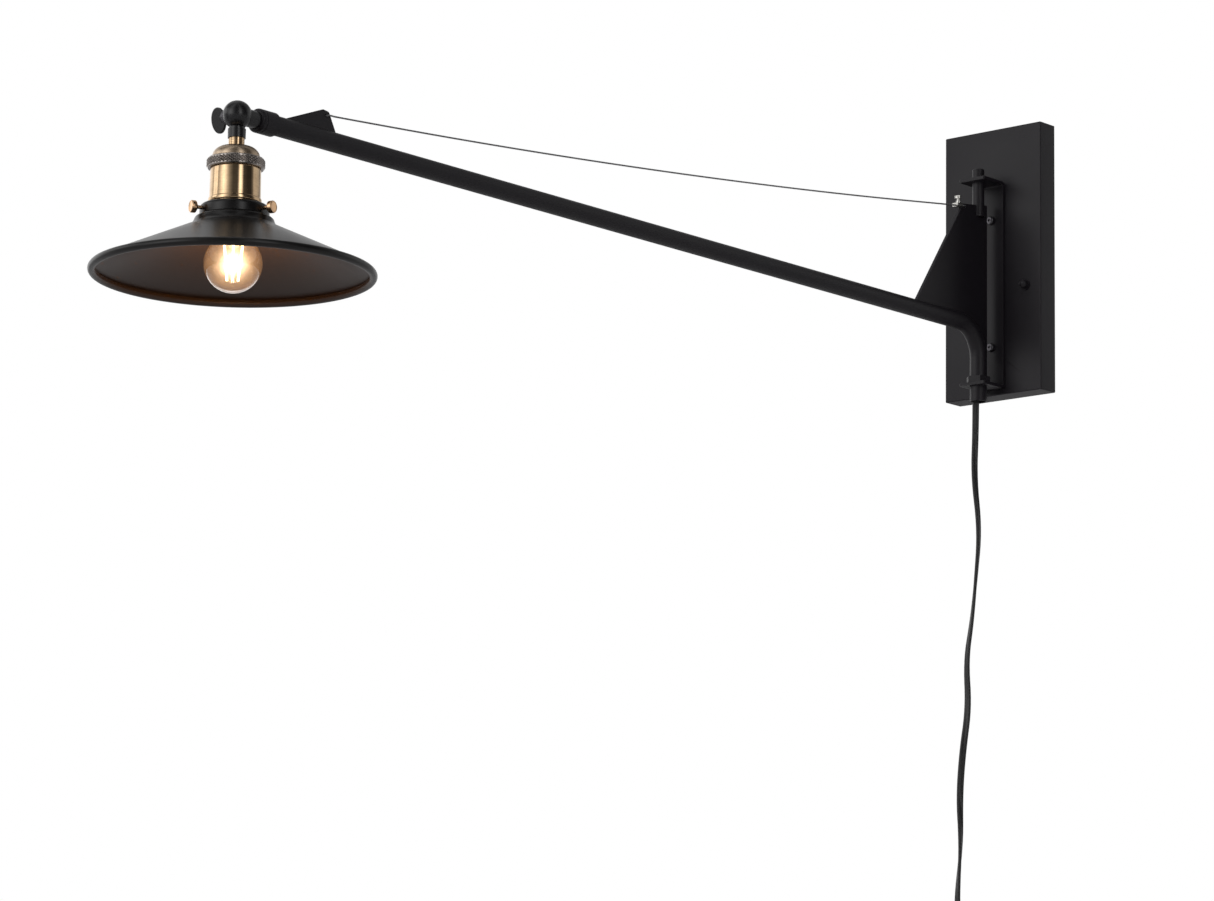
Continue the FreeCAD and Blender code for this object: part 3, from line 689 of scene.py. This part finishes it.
@dataclass
class FinishRack:
    """Every finish of the sconce, made once. The lamp's centre is where lathe marks turn."""

    lamp_centre: Place
    made: dict[str, Material] = field(default_factory=dict)

    def __post_init__(self) -> None:
        """Makes the materials."""
        centre = self.lamp_centre
        finishes = {
            # Powder coat: near black, and grey where it catches the light at a low angle.
            "black": PowderCoat("powder_coated_steel", "141116", 0.0, 0.46),
            # The lamp head's castings have a smoother coat, with sharper highlights.
            "knuckle": PowderCoat(
                "powder_coated_zinc_casting", "111013", 0.0, 0.3, peel=0.6, specular=0.5),
            # Enamel: satin, a touch warmer than the arm's coat.
            "enamel": SpunEnamel(
                "satin_enamel_on_spun_steel", "0e0c0c", 0.0, 0.32, centre, specular=0.35),
            # Aged brass: pale brown with bright and dark upright bands.
            "brass": BrushedBrass(
                "brushed_aged_brass", "d8ba94", 1.0, 0.07, centre, aged="5c4229"),
            # The cap is the same brass with a duller, even grain.
            "cap": BrushedBrass(
                "satin_aged_brass", "c2ae96", 1.0, 0.32, centre, aged="86705a"),
            # Turned brass: rosier and hardly aged, so that the small screws stand out.
            "bright": BrushedBrass(
                "turned_brass", "ecc49c", 1.0, 0.18, centre, aged="b98550", wear=0.3),
            # Bronze: a grey brown, so that the knurl reads as dark metal.
            "bronze": BrushedBrass(
                "blackened_bronze", "b0a8a2", 1.0, 0.2, centre, aged="4a443f", line=0.8),
            # Glass: clear, with sharp reflections and a painted warm glare, emitted by the glass in
            # front of the lit filaments.
            "glass": ClearGlass(
                "clear_blown_glass_painted_glare", "ffffff", 0.0, 0.0,
                painted_glare=((1.2, 0.09, "ffb878"), (9.0, 0.12, "ffb25a"), (24.0, 1.0, "ffe6bc")),
            ),
            # The stem is clear too, and shows only by its reflections.
            "stem": ClearGlass("clear_pressed_glass", "ffffff", 0.0, 0.0),
            # Phosphor: pale yellow, and bright enough to read as lit.
            "glow": Glow("lit_phosphor_coating", "ffd9a0", 0.0, 0.6),
            # Wire rope: mid grey, and brighter where a strand faces the light.
            "rope": DrawnWire("galvanised_wire_rope", "9a9a9c", 1.0, 0.4),
            # Plated and dulled metals: from the shiniest, on the wire's fittings, to near black.
            "nickel": DrawnWire("nickel_plated_brass", "cfcdc8", 1.0, 0.22),
            "zinc": DrawnWire("zinc_plated_steel", "b9bbbf", 1.0, 0.38),
            "washer": DrawnWire("dulled_steel", "6a686c", 1.0, 0.5),
            "oxide": DrawnWire("black_oxide_steel", "58565a", 1.0, 0.36),
            # PVC: the lead is satin black, and its plug is a shade greyer and duller.
            "sheath": SoftSheath("flexible_pvc", "131314", 0.0, 0.42),
            "plug": SoftSheath("moulded_pvc", "171718", 0.0, 0.5),
            # Inner insulators: a dull brown moulding, and glossy black glass.
            "phenolic": Finish("phenolic_moulding", "221c18", 0.0, 0.45),
            "opaline": Finish("black_glass_insulator", "121216", 0.0, 0.12),
        }
        for key, finish in finishes.items():
            self.made[key] = finish.material()

    def __getitem__(self, key: str) -> Material:
        """The material under a short key."""
        return self.made[key]


# -------- camera and light


@dataclass
class Studio:
    """The camera, the pale floor and the soft light."""

    azimuth: float = 40.962
    elevation: float = -10.781
    roll: float = 0.820
    lens: float = 142.37
    camera_place: Place = (2.5478, -3.4924, -0.9978)
    floor_height: float = -1.25
    floor_side: float = 40.0
    # Bearings in degrees from straight out of the wall, and how bright the room is there.
    room: tuple[tuple[float, float], ...] = (
        (-180, 0.5), (-150, 0.9), (-110, 1.4), (-88, 1.35), (-76, 0.9), (-66, 0.34), (-54, 0.26),
        (-41, 0.5), (-30, 1.0), (-19, 2.0), (-9, 2.5), (1, 1.8), (10, 0.9), (19, 0.4),
        (28, 0.2), (35, 0.1), (54, 0.1), (59, 0.3), (64, 2.2), (69, 3.0), (74, 2.0),
        (82, 0.1), (102, 0.04), (121, 0.04), (131, 0.2), (138, 0.7), (160, 0.7), (180, 0.5),
    )
    # The room's levels are kept as shares of this, because a ramp's colours end at 1.
    full_level: float = 4.0
    # What a full share gives overhead, where the room is dimmer.
    overhead_level: float = 1.8
    key_place: Place = (-2.3, -2.6, 1.1)
    key_target: Place = (0.0, -0.4, -0.1)
    key_side: float = 1.4
    key_power: float = 9.0

    def set_camera(self) -> None:
        """Makes the camera, which looks up at the lamp from the right of the arm."""
        turn, tilt, roll = (math.radians(v) for v in (self.azimuth, self.elevation, self.roll))
        back = Vector((
            math.sin(turn) * math.cos(tilt), -math.cos(turn) * math.cos(tilt), math.sin(tilt)
        ))
        right = Vector((math.cos(turn), math.sin(turn), 0))
        up = back.cross(right)
        rolled = right * math.cos(roll) + up * math.sin(roll)
        data = bpy.data.cameras.new("camera")
        data.lens, data.sensor_width = self.lens, 36.0
        data.clip_start, data.clip_end = 0.1, 100.0
        camera = bpy.data.objects.new("camera", data)
        axes = Matrix((rolled, back.cross(rolled), back)).transposed().to_4x4()
        camera.matrix_world = Matrix.Translation(self.camera_place) @ axes
        bpy.context.scene.collection.objects.link(camera)
        bpy.context.scene.camera = camera
        bpy.context.scene.view_settings.view_transform = "Standard"

    def lay_floor(self) -> None:
        """Lays a plain pale floor below the lead."""
        bm = bmesh.new()
        bmesh.ops.create_grid(bm, x_segments=1, y_segments=1, size=self.floor_side / 2)
        bmesh.ops.translate(bm, vec=(0, 0, self.floor_height), verts=bm.verts)
        mesh = bpy.data.meshes.new("floor")
        bm.to_mesh(mesh)
        bm.free()
        floor = bpy.data.objects.new("floor", mesh)
        mesh.materials.append(Finish("pale_studio_floor", "e9e9ea", 0.0, 0.8).material())
        bpy.context.scene.collection.objects.link(floor)

    def light(self) -> None:
        """Surrounds the object with soft panels, and darker gaps between them."""
        world = bpy.data.worlds.new("studio")
        bpy.context.scene.world = world
        world.use_nodes = True
        tree = world.node_tree
        tree.nodes.clear()
        towards = add_node(tree, "ShaderNodeTexCoord")
        apart = add_node(tree, "ShaderNodeSeparateXYZ", inputs={0: towards.outputs["Generated"]})
        forward = compute(tree, "MULTIPLY", apart.outputs[1], -1.0)
        bearing = compute(tree, "ARCTAN2", apart.outputs[0], forward)
        share = add_node(tree, "ShaderNodeMapRange", inputs={
            "Value": bearing, "From Min": -math.pi, "From Max": math.pi,
        })
        ramp = add_node(tree, "ShaderNodeValToRGB", inputs={0: share.outputs[0]})
        stops = ramp.color_ramp.elements
        for number, (degrees, level) in enumerate(self.room):
            at = (degrees + 180) / 360
            # A new ramp already holds two stops.
            stop = stops[number] if number < 2 else stops.new(at)
            stop.position = at
            stop.color = (*[level / self.full_level] * 3, 1)
        height = add_node(tree, "ShaderNodeMapRange", {"interpolation_type": "SMOOTHSTEP"}, {
            "Value": apart.outputs[2], "From Min": 0.3, "From Max": 0.7,
            "To Min": self.full_level, "To Max": self.overhead_level,
        })
        level = add_node(tree, "ShaderNodeVectorMath", {"operation": "SCALE"}, {
            0: ramp.outputs[0], "Scale": height.outputs[0],
        })
        room = add_node(tree, "ShaderNodeBackground", inputs={"Color": level.outputs[0]})
        white = add_node(tree, "ShaderNodeBackground", inputs={"Color": (1, 1, 1, 1)})
        rays = add_node(tree, "ShaderNodeLightPath")
        either = add_node(tree, "ShaderNodeMixShader", inputs={
            0: rays.outputs["Is Camera Ray"], 1: room.outputs[0], 2: white.outputs[0],
        })
        add_node(tree, "ShaderNodeOutputWorld", inputs={0: either.outputs[0]})
        self.add_key()

    def add_key(self) -> None:
        """Adds a soft square light on the left, in front of the lamp and above it."""
        data = bpy.data.lights.new("key_panel", "AREA")
        data.size, data.energy = self.key_side, self.key_power
        panel = bpy.data.objects.new("key_panel", data)
        towards = Vector(self.key_target) - Vector(self.key_place)
        panel.matrix_world = Matrix.Translation(self.key_place) @ (
            towards.to_track_quat("-Z", "Y").to_matrix().to_4x4()
        )
        panel.visible_camera = False
        bpy.context.scene.collection.objects.link(panel)


# -------- mains lead


@dataclass
class MainsLead:
    """A flat twin lead that hangs from the tube's foot, its coil, tie and plug.

    Its two cores lie side by side, and it twists half a turn in about 240 mm as it hangs.
    """

    width: float = 6.2
    lobe: float = 1.52
    exit: Place = (-0.0018, -0.0456, -0.126)
    coil_centre: Place = (-0.0205, -0.0575, -0.656)
    coil_rows: tuple[float, ...] = (0.0392, 0.033, 0.0268)
    coil_columns: tuple[float, ...] = (-0.0606, -0.0544)
    points_per_turn: int = 16
    coil_start: float = 45.0
    plug_size: Place = (24.0, 15.0, 30.0)
    plug_ribs: int = 5
    lowest_rib: float = 8.0
    rib_pitch: float = 3.4
    # Which way the flat side lies at the tube's foot, before any twist.
    flat_side: Place = (0.755, 0.6555, 0.0)
    # How far along the lead in millimetres, and how far the flat side has turned, in degrees.
    twist: tuple[tuple[float, float], ...] = (
        (0, 5), (60, -20), (187, -90), (330, -175), (365, -185), (430, -270), (480, -330),
        (620, -360), (2000, -1080),
    )
    hanging: tuple[Place, ...] = (
        (-0.0018, -0.0456, -0.126), (-0.0019, -0.0455, -0.16), (-0.0033, -0.0466, -0.203),
        (0.0009, -0.0433, -0.252), (-0.0016, -0.0459, -0.297), (-0.0046, -0.0476, -0.335),
        (-0.0086, -0.0513, -0.371), (-0.0066, -0.0499, -0.414), (-0.0109, -0.0532, -0.453),
        (-0.013, -0.0552, -0.495), (-0.0117, -0.0542, -0.536), (-0.0146, -0.0566, -0.584),
        (-0.0102, -0.0609, -0.611),
    )
    tail: tuple[Place, ...] = (
        (0.0189, -0.0544, -0.668), (0.0193, -0.0549, -0.682), (0.0169, -0.0566, -0.7),
        (0.0169, -0.0566, -0.707),
    )

    def coil_route(self) -> list[Place]:
        """The coil's turns: in along the first column, and out along the second.

        Returns:
            Control points in metres, from upper right, clockwise as seen from the room.
        """
        x, _, z = self.coil_centre
        rows = [(r, self.coil_columns[0]) for r in self.coil_rows]
        rows += [(r, self.coil_columns[1]) for r in reversed(self.coil_rows)]
        count = self.points_per_turn
        # A route's line runs inside its points on a bend, so they stand out by this much.
        stand_out = 1 / (0.5 + 0.5 * math.cos(math.pi / count))
        last = len(rows) - 1
        points = []
        for step in range(len(rows) * count + count // 8 + 1):
            turns = step / count
            here = min(int(turns), last)
            # The last quarter of each turn but the last crosses over to the next row.
            part = min(1.0, max(0.0, (turns - here - 0.75) / 0.25)) if here < last else 0.0
            (r0, y0), (r1, y1) = rows[here], rows[min(here + 1, last)]
            radius = (r0 + (r1 - r0) * part) * stand_out
            angle = math.radians(self.coil_start) - math.tau * turns
            points.append((
                x + radius * math.cos(angle), y0 + (y1 - y0) * part, z + radius * math.sin(angle)
            ))
        return points

    def section(self) -> list[tuple[float, float]]:
        """The outline of two round cores joined by a narrow web.

        Each core shows nine points, 31 degrees apart. The web joins their ends.
        """
        middle = self.width / 2 - self.lobe
        outline = []
        for side in (1, -1):
            for step in range(-4, 5):
                angle = math.radians(step * 31)
                across = side * (middle + self.lobe * math.cos(angle))
                outline.append((across, side * self.lobe * math.sin(angle)))
        return outline

    def twist_at(self, distance: float) -> float:
        """How far the flat side has turned away from the room, in radians.

        Args:
            distance: the way along the lead from the tube's foot, in millimetres.
        """
        for (d0, a0), (d1, a1) in zip(self.twist, self.twist[1:]):
            if distance <= d1:
                return math.radians(a0 + (a1 - a0) * (distance - d0) / (d1 - d0))
        return math.radians(self.twist[-1][1])

    def build(self, finishes: FinishRack) -> None:
        route = [*self.hanging, *self.coil_route(), *self.tail]
        line = spline_points(route, 6)
        distances = [0.0]
        for before, after in zip(line, line[1:]):
            distances.append(distances[-1] + (after - before).length / MM)
        across = Vector(self.flat_side)

        def side_at(number: int, along: Vector) -> Vector:
            """The way the flat side lies at a point of the line."""
            flat = (across - along * across.dot(along)).normalized()
            turn = Matrix.Rotation(self.twist_at(distances[number]), 3, along)
            return turn @ flat

        bm = swept_tube([point / MM for point in line], self.section(), side_at)
        plug = self.build_plug(finishes)
        lead = finish_piece(
            bm, "mains_lead", Body.WALL, finishes["sheath"],
            ("cord_lead", "cord_coil", "cord_tail"), sharp=60,
        )
        LOG.info("the lead is %.0f mm long", distances[-1])
        dress(finishes["plug"], "cord_tie")
        dress(finishes["bright"], "plug_blades")

    def build_plug(self, finishes: FinishRack) -> bpy.types.Object:
        """Makes the moulded plug: a waisted body with grip ribs, and a tapered sleeve."""
        low, high = box_mm("plug_body")
        middle = (low + high) / 2
        wide, thick, tall = self.plug_size
        bm = bmesh.new()
        bmesh.ops.create_cube(bm, size=1.0)
        bmesh.ops.scale(bm, vec=(wide, thick, tall), verts=bm.verts)
        upright = [e for e in bm.edges if abs(e.verts[0].co.z - e.verts[1].co.z) > 1]
        round_edges(bm, upright, 3.6, 5)
        top = [e for e in bm.edges if all(v.co.z > tall / 2 - 0.01 for v in e.verts)]
        round_edges(bm, top, 3.0, 4)
        bottom = [e for e in bm.edges if all(v.co.z < 0.01 - tall / 2 for v in e.verts)]
        round_edges(bm, bottom, 0.8, 2)
        bmesh.ops.translate(bm, vec=(middle.x, middle.y, low.z + tall / 2), verts=bm.verts)
        for side in (-1, 1):
            for k in range(self.plug_ribs):
                rib = bmesh.new()
                bmesh.ops.create_cube(rib, size=1.0)
                bmesh.ops.scale(rib, vec=(1.0, 9.0, 1.5), verts=rib.verts)
                round_edges(rib, rib.edges[:], 0.4, 2)
                height = low.z + self.lowest_rib + k * self.rib_pitch
                at = (middle.x + side * (wide / 2 - 0.1), middle.y, height)
                join(bm, rib, Matrix.Translation(at))
        rings = [(0.0, 0.0), (6.3, 0.0), (6.0, 1.6, 0.4)]
        height = 1.6
        for k in range(4):
            reach = 5.8 - k * 0.42
            rings += [(reach - 0.7, height, 0.2), (reach - 0.7, height + 0.7, 0.2),
                      (reach, height + 0.7, 0.2), (reach - 0.2, height + 1.9, 0.2)]
            height += 1.9
        rings += [(3.6, height + 0.9, 0.5), (0.0, height + 0.9)]
        join(bm, lathe(rings, 40), Matrix.Translation((middle.x, middle.y, high.z - height - 0.9)))
        return finish_piece(
            bm, "plug_moulding", Body.WALL, finishes["plug"], ("plug_body",),
        )


# -------- wall side


@dataclass
class WallSide:
    """The wall plate with its fixings, and the pivot bracket screwed onto it."""

    def build(self, finishes: FinishRack) -> None:
        """Eases the plate and the bracket, and dresses their fixings."""
        ease_edges("back_plate", "wall_plate", Body.WALL, finishes["black"], 0.4)
        ease_edges("pivot_bracket", "channel_bracket", Body.WALL, finishes["black"], 0.35)
        dress(finishes["black"], "cap_nuts")
        dress(finishes["zinc"], "mounting_plate", "canopy_studs", "bracket_nuts")
        dress(finishes["oxide"], "bracket_screws")


# -------- arm


@dataclass
class SwingArm:
    """The tube arm, its gusset and fin, the stay wire and the coupling at the arm's end."""

    strand: float = 0.26
    strands: int = 6
    rope_radius: float = 0.49
    lay: float = 9.0
    ring_spacing: float = 1.1
    wire_route: tuple[Place, ...] = (
        (-0.0044, -0.8991, -0.0444), (0.0026, -0.8991, -0.0444), (0.0026, -0.8929, -0.0438),
        (0.0009, -0.8901, -0.0435), (0.0008, -0.7316, -0.0311), (0.0008, -0.5647, -0.0156),
        (0.0008, -0.398, 0.0021), (0.0008, -0.2316, 0.022), (0.0008, -0.0793, 0.0427),
        (0.0009, -0.073, 0.0434), (0.0025, -0.071, 0.0436), (0.0025, -0.0651, 0.0442),
        (-0.0025, -0.0651, 0.0442), (-0.0025, -0.071, 0.0436), (-0.0009, -0.073, 0.0434),
        (-0.0008, -0.0793, 0.0427),
    )

    def build(self, finishes: FinishRack) -> None:
        """Makes the wire, eases the plates and the collar, and dresses the rest."""
        self.build_wire(finishes)
        ease_edges("gusset_plate", "web_plate", Body.ARM, finishes["black"], 0.3)
        ease_edges("fin_plate", "wire_fin", Body.ARM, finishes["black"], 0.3)
        ease_edges("end_collar", "coupling_sleeve", Body.ARM, finishes["black"], 0.25)
        dress(finishes["black"], "arm_tube", "pivot_pin", "swing_nut")
        dress(finishes["knuckle"], "knuckle_arm_half")
        dress(finishes["nickel"], "wire_ferrule", "wire_clamp", "clamp_screw")
        dress(finishes["sheath"], "arm_cable")

    def build_wire(self, finishes: FinishRack) -> None:
        """Makes the stay wire from six twisted strands, which are coarser than the real ones."""
        line = [point / MM for point in spline_points(self.wire_route, 12)]
        spaced = [line[0]]
        gone = [0.0]
        for before, after in zip(line, line[1:]):
            pieces = max(1, round((after - before).length / self.ring_spacing))
            for step in range(1, pieces + 1):
                spaced.append(before.lerp(after, step / pieces))
                gone.append(gone[-1] + (spaced[-1] - spaced[-2]).length)
        bm = bmesh.new()
        around = [math.tau * k / 5 for k in range(5)]
        section = [(self.strand * math.cos(a), self.strand * math.sin(a)) for a in around]
        for number in range(self.strands):
            path = []
            for k, point in enumerate(spaced):
                before, after = spaced[max(k - 1, 0)], spaced[min(k + 1, len(spaced) - 1)]
                along = (after - before).normalized()
                side = along.cross(Z_AXIS).normalized()
                angle = math.tau * (gone[k] / self.lay + number / self.strands)
                out = side * math.cos(angle) + along.cross(side) * math.sin(angle)
                path.append(point + out * self.rope_radius)
            join(bm, swept_tube(path, section, lambda _, along: along.cross(Z_AXIS)))
        finish_piece(
            bm, "stay_wire_rope", Body.ARM, finishes["rope"], ("stay_wire",), sharp=80,
        )


# -------- lamp head


@dataclass
class LampHead:
    """Everything that tilts: the knuckle's lamp half, the lampholder, the shade and the bulb.

    Heights are measured down from the knuckle's centre.
    """

    ball: Place
    ring_radius: float = 22.5
    ring_top: float = 34.9
    ring_foot: float = 42.7
    # The real knurl is about twice as fine. It is drawn this coarse, so that it shows.
    knurl_columns: int = 46
    knurl_rows: int = 6
    knurl_depth: float = 0.7
    screw_drop: float = 75.8
    screw_bearings: tuple[float, ...] = (12.0, 128.0, 246.0)
    globe_radius: float = 22.5
    globe_wall: float = 0.8
    globe_drop: float = 116.8
    light_power: float = 2.2
    light_colour: Place = (1.0, 0.4, 0.1)
    light_size: float = 0.012

    def place(self) -> Matrix:
        """Moves a mesh from the knuckle's centre at the origin to its place."""
        return Matrix.Translation(self.ball)

    def turned(self, name: str, profile: Sequence[tuple[float, ...]], material: Material,
               node: str, steps: int = 96) -> bpy.types.Object:
        """Makes one piece that is turned about the lamp's axis.

        Args:
            name: the piece's name.
            profile: (radius, distance below the knuckle, rounding) points.
            material: its finish.
            node: the frame node that it stands for.
            steps: how many faces go round.

        Returns:
            The piece.
        """
        bm = lathe([(point[0], -point[1], *point[2:]) for point in profile], steps)
        bmesh.ops.transform(bm, matrix=self.place(), verts=bm.verts)
        return finish_piece(bm, name, Body.HEAD, material, (node,))

    def build(self, finishes: FinishRack) -> None:
        """Makes the lamp head's pieces."""
        self.build_lampholder(finishes)
        self.build_thumbscrews(finishes)
        self.build_shade(finishes)
        self.build_bulb(finishes)
        dress(finishes["knuckle"], "knuckle_lamp_half")
        dress(finishes["washer"], "wing_washer")
        dress(finishes["zinc"], "filament_leads")
        dress(finishes["bright"], "nipple_nut", "screw_shell", "centre_contact", "terminal_screws")
        dress(finishes["phenolic"], "socket_core")
        dress(finishes["sheath"], "head_cable")
        dress(finishes["nickel"], "bulb_cap")
        dress(finishes["opaline"], "bulb_tip")

    def build_lampholder(self, finishes: FinishRack) -> None:
        """Makes the nipple, the domed cap, the knurled ring, the shell and the shade holder."""
        # The nipple's thread is drawn as four grooves, coarser than its real pitch of 1 mm.
        crest, root, start, pitch = 6.15, 6.02, 19.3, 1.35
        tube = [(3.6, 12.6), (4.9, 12.6), (4.9, 18.45), (crest, 18.45, 0.2)]
        for k in range(4):
            at = start + k * pitch
            tube += [(crest, at), (root, at + 0.12), (root, at + 0.24), (crest, at + 0.36)]
        tube += [(crest, 24.9), (4.9, 24.95), (4.9, 29.4), (3.6, 29.4)]
        self.turned("brass_nipple", tube, finishes["brass"], "nipple", 64)
        self.turned("lampholder_cap", [
            (4.95, 24.95), (9.2, 24.95, 1.2), (13.2, 26.0, 1.6), (16.4, 28.2, 2.0),
            (18.1, 31.2, 1.4), (18.45, 34.75), (17.6, 34.75), (17.2, 31.6, 1.2), (15.7, 28.9, 1.6),
            (12.9, 27.0, 1.2), (8.8, 26.0, 0.8), (4.95, 26.0),
        ], finishes["cap"], "socket_cap")
        self.build_ring(finishes)
        self.turned("lampholder_shell", [
            (18.7, 42.85), (19.5, 42.85, 0.25), (19.7, 66.0), (20.45, 66.3, 0.5), (20.6, 67.9),
            (20.45, 69.5, 0.5), (19.7, 69.9), (19.7, 84.0), (18.7, 84.0),
        ], finishes["brass"], "socket_shell", 128)
        self.turned("shade_holder_ring", [
            (19.8, 71.05), (24.5, 71.05, 1.3), (26.7, 73.2, 1.2), (26.7, 80.15, 0.25),
            (25.6, 80.15, 0.2), (25.55, 73.6, 0.8), (23.7, 72.25, 0.8), (19.8, 72.25),
        ], finishes["enamel"], "shade_holder", 128)

    def build_ring(self, finishes: FinishRack) -> None:
        """Makes the clamping ring, with its diamond knurl as real relief."""
        border = 0.75
        top, foot = self.ring_top + border, self.ring_foot - border
        root = self.ring_radius - self.knurl_depth
        band = [
            (root, top + (foot - top) * row / self.knurl_rows)
            for row in range(self.knurl_rows + 1)
        ]
        profile = [(18.6, self.ring_top), (root - 0.5, self.ring_top, 0.2), *band,
                   (root - 0.5, self.ring_foot, 0.2), (18.6, self.ring_foot)]
        steps = 2 * self.knurl_columns
        bm = lathe([(r, -h) for r, h, *_ in profile], steps)
        pitch = (foot - top) / self.knurl_rows
        for vertex in bm.verts:
            radius = math.hypot(vertex.co.x, vertex.co.y)
            row = (-vertex.co.z - top) / pitch
            if radius < root - 0.1 or not 0.5 < row < self.knurl_rows - 0.5:
                continue
            column = math.atan2(vertex.co.y, vertex.co.x) / math.tau * steps
            if (round(column) + round(row)) % 2:
                vertex.co.xy *= self.ring_radius / radius
        relief = [
            f for f in bm.faces
            if len(f.verts) == 4 and all(math.hypot(v.co.x, v.co.y) > root - 0.1 for v in f.verts)
        ]
        bmesh.ops.triangulate(bm, faces=relief, quad_method="SHORT_EDGE")
        bmesh.ops.transform(bm, matrix=self.place(), verts=bm.verts)
        finish_piece(
            bm, "knurled_ring", Body.HEAD, finishes["bronze"], ("socket_ring",),
            sharp=12,
        )

    def build_thumbscrews(self, finishes: FinishRack) -> None:
        """Makes the three screws that grip the shade's lip, each with a thick dished head."""
        profile = [
            (0.0, 25.0), (1.45, 25.0), (1.45, 30.4), (2.6, 30.4, 0.4), (3.1, 31.2, 0.3),
            (4.1, 31.3, 0.4), (4.85, 32.0, 0.3), (4.85, 35.2, 0.5), (4.2, 35.8, 0.3),
            (3.6, 35.5, 0.3), (0.0, 35.1),
        ]
        bm = bmesh.new()
        for degrees in self.screw_bearings:
            turn = math.radians(degrees)
            out = Vector((math.cos(turn), math.sin(turn), 0))
            place = self.place() @ Matrix.Translation((0, 0, -self.screw_drop))
            join(bm, lathe(profile, 40), place @ out.to_track_quat("Z", "Y").to_matrix().to_4x4())
        finish_piece(
            bm, "shade_thumbscrews", Body.HEAD, finishes["bright"], ("thumbscrews",),
        )

    def build_shade(self, finishes: FinishRack) -> None:
        """Makes the spun shade: lip, shoulder, cone, and a rim rolled over a wire."""
        rim, bead, drop = 106.8, 3.2, 124.0
        # The bead runs from the rim's top, out and under, and back up on the inside.
        roll = [
            (rim + bead * math.cos(math.radians(a)), drop - bead * math.sin(math.radians(a)))
            for a in range(108, -231, -13)
        ]
        profile = [
            (24.7, 73.6), (24.7, 80.6, 0.3), (28.9, 80.9, 0.7), (30.3, 82.2, 0.6), (30.9, 84.2, 0.9),
            (32.6, 87.2, 1.4), (37.0, 89.5, 1.6), *roll,
            (36.5, 90.5, 1.6), (31.6, 88.0, 1.4), (29.9, 84.6, 0.9), (29.3, 82.9, 0.5),
            (28.4, 82.0, 0.5), (23.7, 81.7, 0.3), (23.7, 73.6),
        ]
        self.turned("spun_shade", profile, finishes["enamel"], "shade", 192)

    def build_bulb(self, finishes: FinishRack) -> None:
        """Makes the glass globe, dresses its stem and the four filaments, and lights it."""
        outer, inner = (
            [(radius * math.sin(math.radians(a)), self.globe_drop - radius * math.cos(math.radians(a)))
             for a in range(44, 181, 8)]
            for radius in (self.globe_radius, self.globe_radius - self.globe_wall)
        )
        inner.reverse()
        outer[-1], inner[0] = (0.0, outer[-1][1]), (0.0, inner[0][1])
        profile = [(12.6, 87.0), (12.8, 93.0), (13.7, 97.8), *outer,
                   *inner, (13.0, 98.2), (12.0, 93.2), (11.8, 87.0)]
        self.turned("bulb_globe", profile, finishes["glass"], "bulb_glass", 96)
        dress(finishes["stem"], "bulb_stem")
        dress(finishes["glow"], "bulb_filaments")
        lamp = bpy.data.lights.new("bulb_light", "POINT")
        lamp.energy, lamp.color = self.light_power, self.light_colour
        lamp.shadow_soft_size = self.light_size
        holder = bpy.data.objects.new("bulb_light", lamp)
        holder.location = Vector(self.ball) * MM - Vector((0, 0, self.globe_drop * MM))
        holder.visible_camera = holder.visible_glossy = holder.visible_transmission = False
        bpy.context.scene.collection.objects.link(holder)
        holder.parent = frame["bodies"][Body.HEAD.value]


@dataclass
class TiltScrew:
    """The wing screw that clamps the knuckle."""

    def build(self, finishes: FinishRack) -> None:
        """Dresses the wing screw."""
        dress(finishes["knuckle"], "wing_screw")


def main() -> None:
    """Builds the sconce."""
    logging.basicConfig(level=logging.INFO, format="%(name)s: %(message)s")
    studio = Studio()
    studio.set_camera()
    washer_low, washer_high = box_mm("wing_washer")
    middle = (washer_low + washer_high) / 2
    ball = (0.0, middle.y, middle.z)
    finishes = FinishRack(tuple(value * MM for value in ball))
    MainsLead().build(finishes)
    studio.lay_floor()
    studio.light()
    WallSide().build(finishes)
    SwingArm().build(finishes)
    LampHead(ball).build(finishes)
    TiltScrew().build(finishes)


if __name__ == "__main__":
    main()
